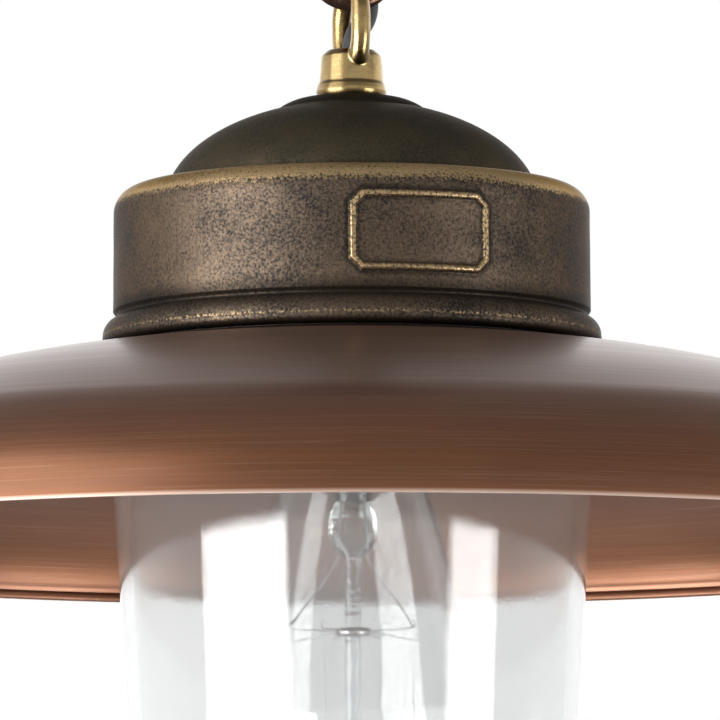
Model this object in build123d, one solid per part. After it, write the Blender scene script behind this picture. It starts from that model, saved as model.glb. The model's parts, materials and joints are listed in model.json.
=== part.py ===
"""Ship lantern: a pendant light with a cast brass cap, a spun copper shade and a clear glass jar.

Row frame: millimetres, +Z up, origin in the middle of the ceiling plate's top face.
The lamp hangs below it. Heights inside the lamp head are given above the plane of the
shade's rim, and the function head_piece() moves a finished head piece to its place.
"""
from build123d import *
from math import asin, cos, degrees, pi, radians, sin
import os

os.makedirs("parts", exist_ok=True)

# ---------------------------------------------------------------- driving dimensions
YAW = 15.3                # turn of hook, chain and bail about the vertical

SLIDE_GAP = 0.3           # between curved faces of different bodies
FIT = 0.05                # clearance of screws, nipple and spigots in their holes
SEAT = 0.02               # between pieces that are clamped face to face

# cast cap, a wall with a bead at its foot
CAP_R = 61.9
CAP_H = 41.9              # from the shade's seat to the cap's top
CAP_WALL = 4.0
CAP_SHOULDER = 6.5        # radius of the upper outer corner
CAP_DRAFT = 0.15          # the wall leans in by this much towards its top
BEAD_OVERHANG = 2.7       # of the bead outside the wall
BEAD_H = 7.8              # from the seat to the groove
BEAD_CREST = 3.4          # height of the bead's widest ring above the seat
BEAD_UNDER = 1.4          # undercut of the bead's lower edge
BEAD_TURN = (0.25, 1.4)   # point of the rounded lower edge: in from the crest, up from the seat
BEAD_COVE = (0.7, 6.1)    # point of the hollow above the crest, measured the same way
CAP_FOOT_INSET = 2.4      # from the bead's crest in to the foot that presses the gasket
GROOVE_DEPTH = 0.9
GROOVE_RISE = 1.4
CAP_FLOOR = 4.6           # thickness of the inner flange
CAP_FLOOR_W = 15.9        # width of the inner flange
CAP_MOUTH_W = 17.5        # width of the roof round the mouth under the dome

# spun copper shade
SHADE_R = 180.0
SHADE_SHEET = 1.0
SHADE_SEAT_TOP = 52.8     # height of the flat seat above the rim
SHADE_SEAT_INSET = 1.1    # the flat seat ends this far inside the bead's crest
SHADE_RIM_ARC = 41.25     # radius of the turned-down edge
SHADE_RIM_SLOPE = 77.5    # slope at the rim, degrees
SHADE_JOIN_SLOPE = 22.5   # slope where the edge meets the crown, degrees
SHADE_HOLE_GAP = 2.0      # the shade's hole is larger than the cap's by this
HEM_FOLD = 1.5            # depth of the folded edge, inwards
HEM_RISE = 2.4            # height of the folded edge
HEM_LAP = 0.3             # how far the fold is pressed into the sheet

# cast label frame on the cap's wall, left blank
LABEL_ANGLE = 16.8        # to the right of the front
LABEL_W = 37.2
LABEL_H = 20.4
LABEL_LINE = 1.7
LABEL_CHAMFER = 3.0
LABEL_RISE = 0.8
LABEL_DROP = 17.8         # from the cap's top to its middle

# dome and boss
DOME_LAP = 4.2            # the dome's foot is wider than the cap's mouth by this
DOME_B = 26.9             # half height of the dome's ellipse
DOME_SINK = 4.2           # centre of the ellipse below the cap's top
DOME_WALL = 2.4
DOME_CROWN_WALL = 4.4        # thicker at the crown, where the boss sits
DOME_SPIGOT = 3.4         # depth of the spigot inside the cap's mouth
DOME_FOOT_T = 2.0
BOSS_R = 19.3
BOSS_TOP_R = 12.0
BOSS_H = 3.4
BOSS_SINK = 2.5           # the boss sits on a flat this far below the top of the ellipse
BOSS_EDGE_H = 0.4         # upright edge of the disc
BOSS_CURVE = (5.0, 1.55)  # point of its rounded shoulder: out from the top's edge, down from the top

# brass collar with its bail
COLLAR_R = 9.3
COLLAR_FOOT_H = 3.75
COLLAR_FOOT_TURN = 0.5
COLLAR_NECK_R = 8.3
COLLAR_TOP_R = 7.85
COLLAR_H = 12.7
COLLAR_BEND = 1.8         # rounding of its top edge
BAIL_WIRE_R = 2.5
BAIL_R = 9.5              # centre line of its rounded ends
BAIL_RISE = 4.3           # centre of its lower end above the collar
BAIL_STRAIGHT = 3.2

# chain
LINK_WIRE_R = 2.05
LINK_R = 10.95            # centre line of the rounded ends
LINK_STRAIGHT = 12.0
LINK_COUNT = 3

# ceiling hook, plate and rose
HOOK_WIRE_R = 2.75
HOOK_R = 10.0
HOOK_SWEEP = 290.0
HOOK_NECK = 9.05          # shank between the eye and the rose
SHANK_R = 3.0
PLATE_R = 44.0
PLATE_T = 3.0
PLATE_HOLE_R = 2.4
PLATE_HOLE_SPACING = 64.0
ROSE_R = 48.0
ROSE_H = 25.0
ROSE_FLAT_R = 24.0
ROSE_SHEET = 1.2
ROSE_SKIRT = 4.0          # straight height at its mouth
CEILING_GAP = 0.4         # the rose and the shank stop this far below the ceiling
NUT_M6_AF = 10.0
NUT_M6_H = 4.5
BUSH_X = 12.5             # cable bush in the rose, in the chain's own axes
BUSH_Y = 12.5
BUSH_R = 5.0
BUSH_LIP = 1.4
BUSH_LIP_T = 2.0
BUSH_RISE = 4.0
ROSE_BLOCK = (22.0, 14.0)  # terminal block inside the rose
ROSE_BLOCK_LIFT = 8.0     # above the rose's floor
ROSE_SCREW_PITCH = 7.0
ROSE_SCREW_SIDE = 4.6

# threaded nipple
NIPPLE_R = 5.0
NIPPLE_BORE_R = 3.4
NIPPLE_TAIL = 2.0         # thread showing below the nut
NIPPLE_BITE = 3.0         # thread inside the collar, above its foot
NUT_M10_AF = 14.0
NUT_M10_H = 3.6
WASHER_R = 9.0
WASHER_T = 1.0

# supply cable
CABLE_R = 2.8
CABLE_X = 6.0             # where it runs beside the chain, in the chain's own axes
CABLE_Y = 5.6
CABLE_BEND = 12.0
CABLE_TOP_BEND = 10.0
CABLE_OFFSET_RISE = 11.0  # height over which it moves from the bore to beside the chain
SHEATH_IN_NIPPLE = 8.0    # the sheath ends this far above the nipple's lower end
WIRE_R = 1.0
CORE_R = 1.045
CORE_PITCH_R = 1.265      # circle on which the three cores leave the nipple

# gear plate, strap and lampholder
GEAR_GAP = 2.9            # between the plate's edge and the cap's wall
GEAR_T = 2.0
GEAR_SCREW_IN = 10.4      # screw circle inside the cap's outside
M3_R = 1.5
M3_HEAD_R = 2.8
M3_HEAD_H = 1.7
M3_PASS_R = 1.7           # plain hole for an M3 screw
M4_R = 2.0
M4_HEAD_R = 3.9
M4_HEAD_H = 2.4
M4_PASS_R = 2.3
M4_SINK_R = 4.2           # counterbore for its head
M4_SINK = 2.8
SCREW_BITE = 3.6          # depth of the gallery screws' holes in the cap
STRAP_W = 16.0
STRAP_T = 1.5
STRAP_HALF = 25.0
STRAP_FOOT = 11.0
HOLDER_R = 21.0
HOLDER_DROP = 13.68       # its top below the gear plate
HOLDER_H = 40.0
HOLDER_BORE_R = 15.2
HOLDER_ROOF = 9.0
HOLDER_SKIRT_H = 20.0
HOLDER_SKIRT_IN = 2.0
HOLDER_EDGE = 1.5
HOLDER_SCREW_X = 17.0
HOLDER_SCREW_L = 6.5
LEAD_X = 5.0              # lead holes in the holder's roof
LEAD_Y = 12.5
LEAD_HOLE_R = 2.1
LEAD_DEPTH = 5.6
SHELL_T = 0.4
SHELL_LOW = 5.0           # shell's lower edge above the holder's lower edge
SHELL_LIP_R = 9.0
CONTACT_L = 9.0
CONTACT_W = 4.0
CONTACT_T = 0.5
EARTH_SPOT = (-25.0, -21.0)
TAG_R = 3.6
TAG_T = 1.0
TERMINAL_Y = 36.0
TERMINAL_L = 32.0
TERMINAL_W = 13.0
TERMINAL_H = 12.0
TERMINAL_BORE_R = 1.6
POLE_PITCH = 10.0

# gallery, glass and retaining ring
SHADE_GASKET_T = 1.6
SHADE_GASKET_R = 61.0
GALLERY_OVERHANG = 7.1    # its thread is wider than the cap's wall by this
GALLERY_T = 9.0
GALLERY_SEAT_W = 7.0      # the step outside the raised seat
GALLERY_STEP = 2.0
GALLERY_HOLE_IN = 1.0     # the gallery's hole is smaller than the shade's by this
GALLERY_SCREW_IN = 7.4    # screw circle inside the cap's outside
GASKET_T = 2.0
GLASS_FLANGE_IN = 2.6     # flange inside the gallery's outside
GLASS_FLANGE_T = 4.5
GLASS_NECK_IN = 5.7       # neck inside the gallery's outside
GLASS_MID_IN = 3.3        # taper at the middle
GLASS_MID_DROP = 50.0     # middle below the flange
GLASS_FOOT_IN = 7.0       # taper at the heel
GLASS_HEEL_H = 18.0
GLASS_FOOT_GAP = 34.0     # below the lamp
GLASS_WALL = 3.8
GLASS_CORNER = 13.0
GLASS_BELLY = 2.6         # the foot bulges down by this much
RING_WALL = 4.0
RING_LIP = 2.4
RING_RISE = 6.0           # overlap of the ring's thread with the gallery
RING_EDGE = 1.0
NOTCH_R = 2.4
NOTCH_COUNT = 6
NOTCH_OUT = 0.4
NOTCH_TOP = 2.5

# lamp with an E27 base
BULB_TIP_DROP = 14.0      # end contact below the lampholder's top
BULB_R = 32.0
BULB_L = 139.0
BULB_NECK_DROP = 30.0     # neck below the end contact
BULB_NECK_R = 13.4
BULB_NECK_IN = 1.2        # taper inside the base
BULB_NECK_LAP = 4.0       # glass inside the base
BULB_WAIST = (0.638, 0.221)   # radius over BULB_R and way down from neck to middle
BULB_FLANK = (0.831, 0.519)
BULB_BALL_SLOPE = 14.0    # degrees above the middle where the ball begins
BULB_GLASS = 0.9
BASE_R = 13.1
BASE_H = 24.0
BASE_T = 0.4
BASE_SHOULDER = (1.9, 3.0)    # in and down
INSULATOR_H = 3.4
INSULATOR_IN = 2.0
TIP_R = 4.6
TIP_H = 1.6
TIP_EDGE = 1.2
WHEEL_RISE = 25.5         # upper wheel above the ball's centre
LOW_WHEEL_DROP = 16.0     # lower wheel below it
WHEEL_R = 17.0
HUB_R = 4.7
HUB_H = 2.0
SPOKE_R = 0.22
SPOKE_RISE = 0.4
ROD_R = 2.1
PRESS_W = 11.0
PRESS_T = 4.6
PRESS_TOP_DROP = 19.0     # top of the press below the neck
PRESS_H = 11.6
STEM_FLARE_R = 9.6
LEAD_OUT_R = 0.3
LEAD_AT_PRESS = 2.6
LEAD_AT_WHEEL = (9.0, 1.0, 3.0)
FILAMENT_COUNT = 8
FILAMENT_R = 0.18

# radii that follow from the sizes above
BEAD_R = CAP_R + BEAD_OVERHANG
CAP_FOOT_R = BEAD_R - CAP_FOOT_INSET
CAP_TOP_R = CAP_R - CAP_DRAFT
CAP_MOUTH_R = CAP_R - CAP_MOUTH_W
CAP_FLOOR_HOLE_R = CAP_R - CAP_FLOOR_W
DOME_A = CAP_MOUTH_R + DOME_LAP
SHADE_SEAT_R = BEAD_R - SHADE_SEAT_INSET
SHADE_HOLE_R = CAP_FLOOR_HOLE_R + SHADE_HOLE_GAP
GEAR_R = CAP_R - CAP_WALL - GEAR_GAP
GEAR_SCREW_PCR = CAP_R - GEAR_SCREW_IN
GALLERY_SCREW_PCR = CAP_R - GALLERY_SCREW_IN
GALLERY_HOLE_R = SHADE_HOLE_R - GALLERY_HOLE_IN
GALLERY_R = CAP_R + GALLERY_OVERHANG
GALLERY_SEAT_R = GALLERY_R - GALLERY_SEAT_W
GLASS_FLANGE_R = GALLERY_R - GLASS_FLANGE_IN
GLASS_NECK_R = GALLERY_R - GLASS_NECK_IN
GLASS_MID_R = GLASS_NECK_R - GLASS_MID_IN
GLASS_FOOT_R = GLASS_NECK_R - GLASS_FOOT_IN
SHELL_R = HOLDER_BORE_R - FIT

# heights that follow from the sizes above, from the rim up
SEAT_TOP = SHADE_SEAT_TOP
GASKET_TOP = SEAT_TOP + SHADE_GASKET_T
FLOOR_TOP = GASKET_TOP + CAP_FLOOR
BEAD_TOP = SEAT_TOP + BEAD_H
CAP_TOP = SEAT_TOP + CAP_H
CAP_ROOF = CAP_TOP - CAP_WALL
LABEL_MID = CAP_TOP - LABEL_DROP
DOME_MID = CAP_TOP - DOME_SINK
BOSS_SEAT = DOME_MID + DOME_B - BOSS_SINK
BOSS_TOP = BOSS_SEAT + BOSS_H
COLLAR_STEP = BOSS_TOP + COLLAR_FOOT_H
COLLAR_TOP = BOSS_TOP + COLLAR_H
BAIL_LOW = COLLAR_TOP + BAIL_RISE
BAIL_HIGH = BAIL_LOW + BAIL_STRAIGHT
GEAR_TOP = CAP_ROOF - SEAT
GEAR_BOTTOM = GEAR_TOP - GEAR_T
GALLERY_TOP = SEAT_TOP - SHADE_SHEET - SEAT
GALLERY_BOTTOM = GALLERY_TOP - GALLERY_T
FLANGE_TOP = GALLERY_BOTTOM - GASKET_T
FLANGE_BOTTOM = FLANGE_TOP - GLASS_FLANGE_T
HOLDER_TOP = GEAR_BOTTOM - HOLDER_DROP
HOLDER_BOTTOM = HOLDER_TOP - HOLDER_H
BULB_TIP = HOLDER_TOP - BULB_TIP_DROP
BULB_NECK = BULB_TIP - BULB_NECK_DROP
BULB_MID = BULB_TIP - BULB_L + BULB_R
WHEEL_Z = BULB_MID + WHEEL_RISE
LOW_WHEEL_Z = BULB_MID - LOW_WHEEL_DROP
GLASS_MID_Z = FLANGE_BOTTOM - GLASS_MID_DROP
GLASS_BOTTOM = BULB_MID - BULB_R - GLASS_FOOT_GAP
GLASS_FOOT_Z = GLASS_BOTTOM + GLASS_HEEL_H
BAIL_INNER_TOP = BAIL_HIGH + BAIL_R - BAIL_WIRE_R
LINK_1_LOW = BAIL_INNER_TOP - SLIDE_GAP - LINK_WIRE_R
LINK_PITCH = LINK_STRAIGHT + 2 * LINK_R - 2 * LINK_WIRE_R - SLIDE_GAP
LAST_LINK_LOW = LINK_1_LOW + (LINK_COUNT - 1) * LINK_PITCH
LAST_INNER_TOP = LAST_LINK_LOW + LINK_STRAIGHT + 2 * LINK_R - LINK_WIRE_R
HOOK_LOW = LAST_INNER_TOP - SLIDE_GAP - HOOK_WIRE_R
HOOK_MID = HOOK_LOW + HOOK_R
ROSE_BOTTOM = HOOK_MID + HOOK_R + HOOK_NECK
RIM_DROP = ROSE_BOTTOM + ROSE_H                   # ceiling to the shade's rim plane
NIPPLE_LOW = GEAR_BOTTOM - WASHER_T - NUT_M10_H - NIPPLE_TAIL
NIPPLE_HIGH = COLLAR_STEP + NIPPLE_BITE
CABLE_END = NIPPLE_LOW + SHEATH_IN_NIPPLE         # where the sheath ends inside the nipple

# ---------------------------------------------------------------- helpers


def turned(*points):
    """Solid of revolution about Z from a closed outline of (radius, height) points."""
    outline = Polyline(*[(r, 0, z) for r, z in points], close=True)
    return revolve(make_face(outline), Axis.Z)


def ring(r_out, r_in, low, high):
    """Plain ring between two heights."""
    return turned((r_in, low), (r_out, low), (r_out, high), (r_in, high))


def rod(r, low, high, x=0.0, y=0.0):
    """Upright round bar."""
    return Pos(x, y, low) * Cylinder(r, high - low, align=(Align.CENTER, Align.CENTER, Align.MIN))


def block(x, y, low, high):
    """Box from low to high; x and y are each a centre and a size."""
    on_base = (Align.CENTER, Align.CENTER, Align.MIN)
    return Pos(x[0], y[0], low) * Box(x[1], y[1], high - low, align=on_base)


def hex_nut(across_flats, height, bore_r, low, x=0.0, y=0.0):
    """Plain hexagon nut."""
    body = extrude(Plane((x, y, low)) * RegularPolygon(across_flats / 2, 6, major_radius=False), height)
    return body - rod(bore_r, low - 1, low + height + 1, x, y)


def screw(r, head_r, head_h, low, high, x, y):
    """Pan-head screw pointing up: its head hangs below low."""
    shank = rod(r, low, high, x, y)
    head = rod(head_r, low - head_h, low, x, y)
    slot = block((x, 2 * head_r), (y, head_r * 0.3), low - head_h - 0.1, low - head_h * 0.5)
    return shank + fillet(head.edges().sort_by(Axis.Z)[:1], head_h * 0.3) - slot


def around(count, radius, start=0.0):
    """Places on a bolt circle."""
    angles = [start + 360.0 * i / count for i in range(count)]
    return [(radius * cos(radians(a)), radius * sin(radians(a))) for a in angles]


def tube(points, bend, r):
    """Round bar along straight runs joined by tangent arcs."""
    path = FilletPolyline(*points, radius=bend) if len(points) > 2 else Line(*points)
    return sweep(Plane(path @ 0, z_dir=path % 0) * Circle(r), path=path)


def chain_axes(shape):
    """Turn a shape from the chain's own axes to the row's."""
    return Rot(0, 0, YAW) * shape


def chain_point(x, y, z):
    """The same turn for one point."""
    a = radians(YAW)
    return (x * cos(a) - y * sin(a), x * sin(a) + y * cos(a), z)


def head_piece(shape):
    """From heights above the rim plane to the row frame."""
    return Pos(0, 0, -RIM_DROP) * shape


def slope_point(centre, radius, slope):
    """Point of an arc where the surface falls outwards at the given slope, in degrees."""
    return (centre[0] + radius * sin(radians(slope)), centre[1] + radius * cos(radians(slope)))


nodes = {}


def keep(name, shape):
    """File a finished head piece under its node's name."""
    nodes[name] = head_piece(shape)


# ---------------------------------------------------------------- shade


edge_centre = slope_point((SHADE_R, 0.0), -SHADE_RIM_ARC, SHADE_RIM_SLOPE)
join = slope_point(edge_centre, SHADE_RIM_ARC, SHADE_JOIN_SLOPE)
# the crown's arc leaves the edge's arc smoothly and just reaches the seat
reach_r = SHADE_SEAT_R - join[0]
reach_z = SEAT_TOP - join[1]
lean = reach_r * sin(radians(SHADE_JOIN_SLOPE)) + reach_z * cos(radians(SHADE_JOIN_SLOPE))
crown_arc = -(reach_r**2 + reach_z**2) / (2 * lean)
crown_centre = slope_point(join, -crown_arc, SHADE_JOIN_SLOPE)


def shade_line(inset):
    """Outline of the shade's outer or inner skin, from the seat's edge to the rim."""
    seat_z = SEAT_TOP - inset
    crown_r = crown_arc - inset
    seat_slope = degrees(asin((SHADE_SEAT_R - crown_centre[0]) / crown_r))
    middle = slope_point(crown_centre, crown_r, (seat_slope + SHADE_JOIN_SLOPE) / 2)
    meet = slope_point(crown_centre, crown_r, SHADE_JOIN_SLOPE)
    edge_r = SHADE_RIM_ARC - inset
    bend = slope_point(edge_centre, edge_r, (SHADE_JOIN_SLOPE + SHADE_RIM_SLOPE) / 2)
    rim = slope_point(edge_centre, edge_r, SHADE_RIM_SLOPE)
    start = slope_point(crown_centre, crown_r, seat_slope)
    seat = (SHADE_SEAT_R - SHADE_SHEET, seat_z)
    return seat, start, middle, meet, bend, rim


def flat_point(p):
    """(radius, height) as a point of the XZ plane."""
    return (p[0], 0, p[1])


def shade_edges(inset, inner_r):
    """Edges of one skin from the central hole to the rim, and its two end points."""
    seat, start, middle, meet, bend, rim = [flat_point(p) for p in shade_line(inset)]
    hole = (inner_r, 0, SEAT_TOP - inset)
    step = Line(seat, start)
    crown = ThreePointArc(start, middle, meet)
    edge = ThreePointArc(meet, bend, rim)
    return [Line(hole, seat), step, crown, edge], hole, rim


outer_edges, outer_hole, outer_rim = shade_edges(0.0, SHADE_HOLE_R)
inner_edges, inner_hole, inner_rim = shade_edges(SHADE_SHEET, SHADE_HOLE_R)
shade_face = make_face(outer_edges + inner_edges + [Line(outer_hole, inner_hole), Line(outer_rim, inner_rim)])
shade = revolve(shade_face, Axis.Z)
hem_outer = inner_rim[0] + HEM_LAP
shade = shade + ring(hem_outer, hem_outer - HEM_FOLD, 0, HEM_RISE)
screw_spots = around(3, GALLERY_SCREW_PCR, 30)
for x, y in screw_spots:
    shade -= rod(M4_PASS_R, SEAT_TOP - 5, SEAT_TOP + 5, x, y)
keep("shade", shade)

shade_gasket = ring(CAP_FOOT_R - 1.2, SHADE_HOLE_R, SEAT_TOP + SEAT, GASKET_TOP - SEAT)
for x, y in screw_spots:
    shade_gasket -= rod(M4_PASS_R, SEAT_TOP - 5, SEAT_TOP + 5, x, y)
keep("shade_gasket", shade_gasket)

# ---------------------------------------------------------------- cap

bead_low = SEAT_TOP + SLIDE_GAP
groove_high = BEAD_TOP + GROOVE_RISE
under = (BEAD_R - BEAD_UNDER, 0, bead_low)
turn = (BEAD_R - BEAD_TURN[0], 0, SEAT_TOP + BEAD_TURN[1])
crest = (BEAD_R, 0, SEAT_TOP + BEAD_CREST)
cove = (BEAD_R - BEAD_COVE[0], 0, SEAT_TOP + BEAD_COVE[1])
groove = (CAP_R - GROOVE_DEPTH, 0, BEAD_TOP)
groove_mid = (CAP_R - GROOVE_DEPTH * 0.85, 0, BEAD_TOP + GROOVE_RISE / 2)
wall_top = (CAP_TOP_R, 0, CAP_TOP - CAP_SHOULDER)
bend_cut = CAP_SHOULDER * (1 - cos(pi / 4))
shoulder = (CAP_TOP_R - bend_cut, 0, CAP_TOP - bend_cut)
wall_low = [
    Line((CAP_FOOT_R, 0, GASKET_TOP), (CAP_FOOT_R, 0, bead_low)),
    Line((CAP_FOOT_R, 0, bead_low), under),
    ThreePointArc(under, turn, crest),
    ThreePointArc(crest, cove, groove),
    ThreePointArc(groove, groove_mid, (CAP_R, 0, groove_high)),
    Line((CAP_R, 0, groove_high), wall_top),
    ThreePointArc(wall_top, shoulder, (CAP_TOP_R - CAP_SHOULDER, 0, CAP_TOP)),
]
inside = [
    (CAP_TOP_R - CAP_SHOULDER, CAP_TOP),
    (CAP_MOUTH_R, CAP_TOP),
    (CAP_MOUTH_R, CAP_ROOF),
    (CAP_R - CAP_WALL, CAP_ROOF),
    (CAP_R - CAP_WALL, FLOOR_TOP),
    (CAP_FLOOR_HOLE_R, FLOOR_TOP),
    (CAP_FLOOR_HOLE_R, GASKET_TOP),
    (CAP_FOOT_R, GASKET_TOP),
]
cap_inside = [Line(flat_point(a), flat_point(b)) for a, b in zip(inside[:-1], inside[1:])]
cap = revolve(make_face(wall_low + cap_inside), Axis.Z)

# raised frame of the blank label, cut from a flat frame by a thin ring just outside the wall
label_turn = Rot(0, 0, LABEL_ANGLE)
label_plane = Plane(origin=(0, -CAP_R + 3, LABEL_MID), x_dir=(1, 0, 0), z_dir=(0, -1, 0))
outer_label = chamfer(Rectangle(LABEL_W, LABEL_H).vertices(), LABEL_CHAMFER)
inner_rectangle = Rectangle(LABEL_W - 2 * LABEL_LINE, LABEL_H - 2 * LABEL_LINE)
inner_label = chamfer(inner_rectangle.vertices(), LABEL_CHAMFER - LABEL_LINE * 0.6)
label_frame = extrude(label_plane * (outer_label - inner_label), 8) & ring(
    CAP_R + LABEL_RISE, CAP_R - 2, LABEL_MID - LABEL_H, LABEL_MID + LABEL_H
)
cap = cap + (label_turn * label_frame)

gear_spots = around(3, GEAR_SCREW_PCR, 90)
for x, y in gear_spots:
    cap -= rod(M3_R + FIT, CAP_ROOF - 1, CAP_ROOF + 2.6, x, y)
for x, y in screw_spots:
    cap -= rod(M4_R + FIT, GASKET_TOP - 1, GASKET_TOP + SCREW_BITE, x, y)
keep("cap", cap)

# ---------------------------------------------------------------- dome and boss


def dome_edge(a, b, low, r_top):
    """Quarter of an ellipse from the height low up to the radius r_top."""
    first = asin((low - DOME_MID) / b)
    last = pi / 2 - asin(r_top / a)
    steps = 6
    angles = [first + (last - first) * i / steps for i in range(steps + 1)]
    return Spline(*[(a * cos(t), 0, DOME_MID + b * sin(t)) for t in angles])


dome_low = CAP_TOP + SEAT
dome_out = dome_edge(DOME_A, DOME_B, dome_low, NIPPLE_R + FIT)
dome_in = dome_edge(DOME_A - DOME_WALL, DOME_B - DOME_CROWN_WALL, dome_low, NIPPLE_R + FIT)
spigot_r = CAP_MOUTH_R - FIT
spigot_low = dome_low - DOME_SPIGOT
dome_face = make_face([
    dome_out,
    dome_in,
    Line(dome_out @ 1, dome_in @ 1),
    Polyline(
        dome_out @ 0,
        (spigot_r, 0, dome_low),
        (spigot_r, 0, spigot_low),
        (spigot_r - DOME_WALL, 0, spigot_low),
        (spigot_r - DOME_WALL, 0, dome_low + DOME_FOOT_T),
        ((dome_in @ 0).X - 0.6, 0, dome_low + DOME_FOOT_T),
        dome_in @ 0,
    ),
])
dome = revolve(dome_face, Axis.Z)
dome_top = DOME_MID + DOME_B
dome -= rod(BOSS_R + 1.0, BOSS_SEAT, dome_top + 5)
boss_bottom = BOSS_SEAT + SEAT
boss_outline = [
    Line((NIPPLE_R + FIT, 0, boss_bottom), (BOSS_R, 0, boss_bottom)),
    Line((BOSS_R, 0, boss_bottom), (BOSS_R, 0, boss_bottom + BOSS_EDGE_H)),
    ThreePointArc(
        (BOSS_R, 0, boss_bottom + BOSS_EDGE_H),
        (BOSS_TOP_R + BOSS_CURVE[0], 0, BOSS_TOP - BOSS_CURVE[1]),
        (BOSS_TOP_R, 0, BOSS_TOP),
    ),
    Line((BOSS_TOP_R, 0, BOSS_TOP), (NIPPLE_R + FIT, 0, BOSS_TOP)),
    Line((NIPPLE_R + FIT, 0, BOSS_TOP), (NIPPLE_R + FIT, 0, boss_bottom)),
]
keep("dome", dome)
keep("boss_disc", revolve(make_face(boss_outline), Axis.Z))

# ---------------------------------------------------------------- collar with its bail

collar_low = BOSS_TOP + SEAT
foot_in = (COLLAR_R - COLLAR_FOOT_TURN, 0, collar_low)
foot_out = (COLLAR_R, 0, (collar_low + COLLAR_STEP) / 2)
step_low = (COLLAR_NECK_R + 0.3, 0, COLLAR_STEP)
step_high = (COLLAR_NECK_R, 0, COLLAR_STEP + 0.3)
neck_top = (COLLAR_TOP_R, 0, COLLAR_TOP - COLLAR_BEND)
top_bend = (COLLAR_TOP_R - COLLAR_BEND * (1 - cos(pi / 4)), 0, COLLAR_TOP - COLLAR_BEND * (1 - sin(pi / 4)))
top_edge = (COLLAR_TOP_R - COLLAR_BEND, 0, COLLAR_TOP)
collar_edges = [
    Line((0, 0, collar_low), foot_in),
    ThreePointArc(foot_in, foot_out, step_low),
    Line(step_low, step_high),
    Line(step_high, neck_top),
    ThreePointArc(neck_top, top_bend, top_edge),
    Line(top_edge, (0, 0, COLLAR_TOP)),
    Line((0, 0, COLLAR_TOP), (0, 0, collar_low)),
]
collar = revolve(make_face(collar_edges), Axis.Z)


def long_ring(low, high, radius, wire_r):
    """Closed ring in the XZ plane: two half circles joined by straight sides."""
    left_low = (-radius, 0, low)
    right_low = (radius, 0, low)
    left_high = (-radius, 0, high)
    right_high = (radius, 0, high)
    path = Wire([
        ThreePointArc(left_low, (0, 0, low - radius), right_low),
        Line(right_low, right_high),
        ThreePointArc(right_high, (0, 0, high + radius), left_high),
        Line(left_high, left_low),
    ])
    return sweep(Plane(left_low, z_dir=(0, 0, -1)) * Circle(wire_r), path=path)


bail = Rot(0, 0, 90) * long_ring(BAIL_LOW, BAIL_HIGH, BAIL_R, BAIL_WIRE_R)
suspension_loop = collar + bail
suspension_loop -= rod(NIPPLE_R + FIT, collar_low - 1, NIPPLE_HIGH + 0.2)
suspension_loop -= rod(NIPPLE_BORE_R, NIPPLE_HIGH - 1, COLLAR_TOP + 2.5)
keep("suspension_loop", chain_axes(suspension_loop))

# ---------------------------------------------------------------- nipple, washer and nut

keep("nipple", ring(NIPPLE_R, NIPPLE_BORE_R, NIPPLE_LOW, NIPPLE_HIGH))
washer_low = GEAR_BOTTOM - SEAT - WASHER_T
keep("nipple_washer", ring(WASHER_R, NIPPLE_R + FIT, washer_low, washer_low + WASHER_T))
keep("nipple_nut", hex_nut(NUT_M10_AF, NUT_M10_H, NIPPLE_R + FIT, washer_low - SEAT - NUT_M10_H))

# ---------------------------------------------------------------- gear plate, strap and their screws

gear_plate = ring(GEAR_R, NIPPLE_R + FIT, GEAR_BOTTOM, GEAR_TOP)
for x, y in gear_spots:
    gear_plate -= rod(M3_PASS_R, GEAR_BOTTOM - 1, GEAR_TOP + 1, x, y)
strap_top = GEAR_BOTTOM - SEAT
strap_feet_x = STRAP_HALF + STRAP_FOOT / 2
for side in (-1, 1):
    gear_plate -= rod(M3_R + FIT, GEAR_BOTTOM - 1, GEAR_TOP + 1, side * strap_feet_x, 0)
gear_plate -= rod(M3_R + FIT, GEAR_BOTTOM - 1, GEAR_TOP + 1, *EARTH_SPOT)
keep("gear_plate", gear_plate)

gear_screws = [
    screw(M3_R, M3_HEAD_R, M3_HEAD_H, GEAR_BOTTOM - SEAT, CAP_ROOF + 2.2, x, y) for x, y in gear_spots
]
keep("gear_plate_screws", Compound(gear_screws))

web_top = HOLDER_TOP + SEAT + STRAP_T
strap = block((0, 2 * STRAP_HALF), (0, STRAP_W), web_top - STRAP_T, web_top)
for side in (-1, 1):
    leg_x = side * (STRAP_HALF - STRAP_T / 2)
    strap += block((leg_x, STRAP_T), (0, STRAP_W), web_top - STRAP_T, strap_top)
    strap += block((side * strap_feet_x, STRAP_FOOT), (0, STRAP_W), strap_top - STRAP_T, strap_top)
for side in (-1, 1):
    strap -= rod(M3_PASS_R, strap_top - STRAP_T - 1, strap_top + 1, side * strap_feet_x, 0)
    strap -= rod(M3_PASS_R, web_top - STRAP_T - 1, web_top + 1, side * HOLDER_SCREW_X, 0)
keep("holder_strap", strap)
strap_screw = screw(M3_R, M3_HEAD_R, M3_HEAD_H, strap_top - STRAP_T - SEAT, GEAR_TOP - 0.2, 0, 0)
strap_screws = [Pos(side * strap_feet_x, 0, 0) * strap_screw for side in (-1, 1)]
keep("strap_screws", Compound(strap_screws))
holder_screw = Rot(180, 0, 0) * screw(M3_R, M3_HEAD_R, M3_HEAD_H, 0, HOLDER_SCREW_L, 0, 0)
holder_screws = [Pos(side * HOLDER_SCREW_X, 0, web_top + SEAT) * holder_screw for side in (-1, 1)]
keep("holder_screws", Compound(holder_screws))

# ---------------------------------------------------------------- lampholder

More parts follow.
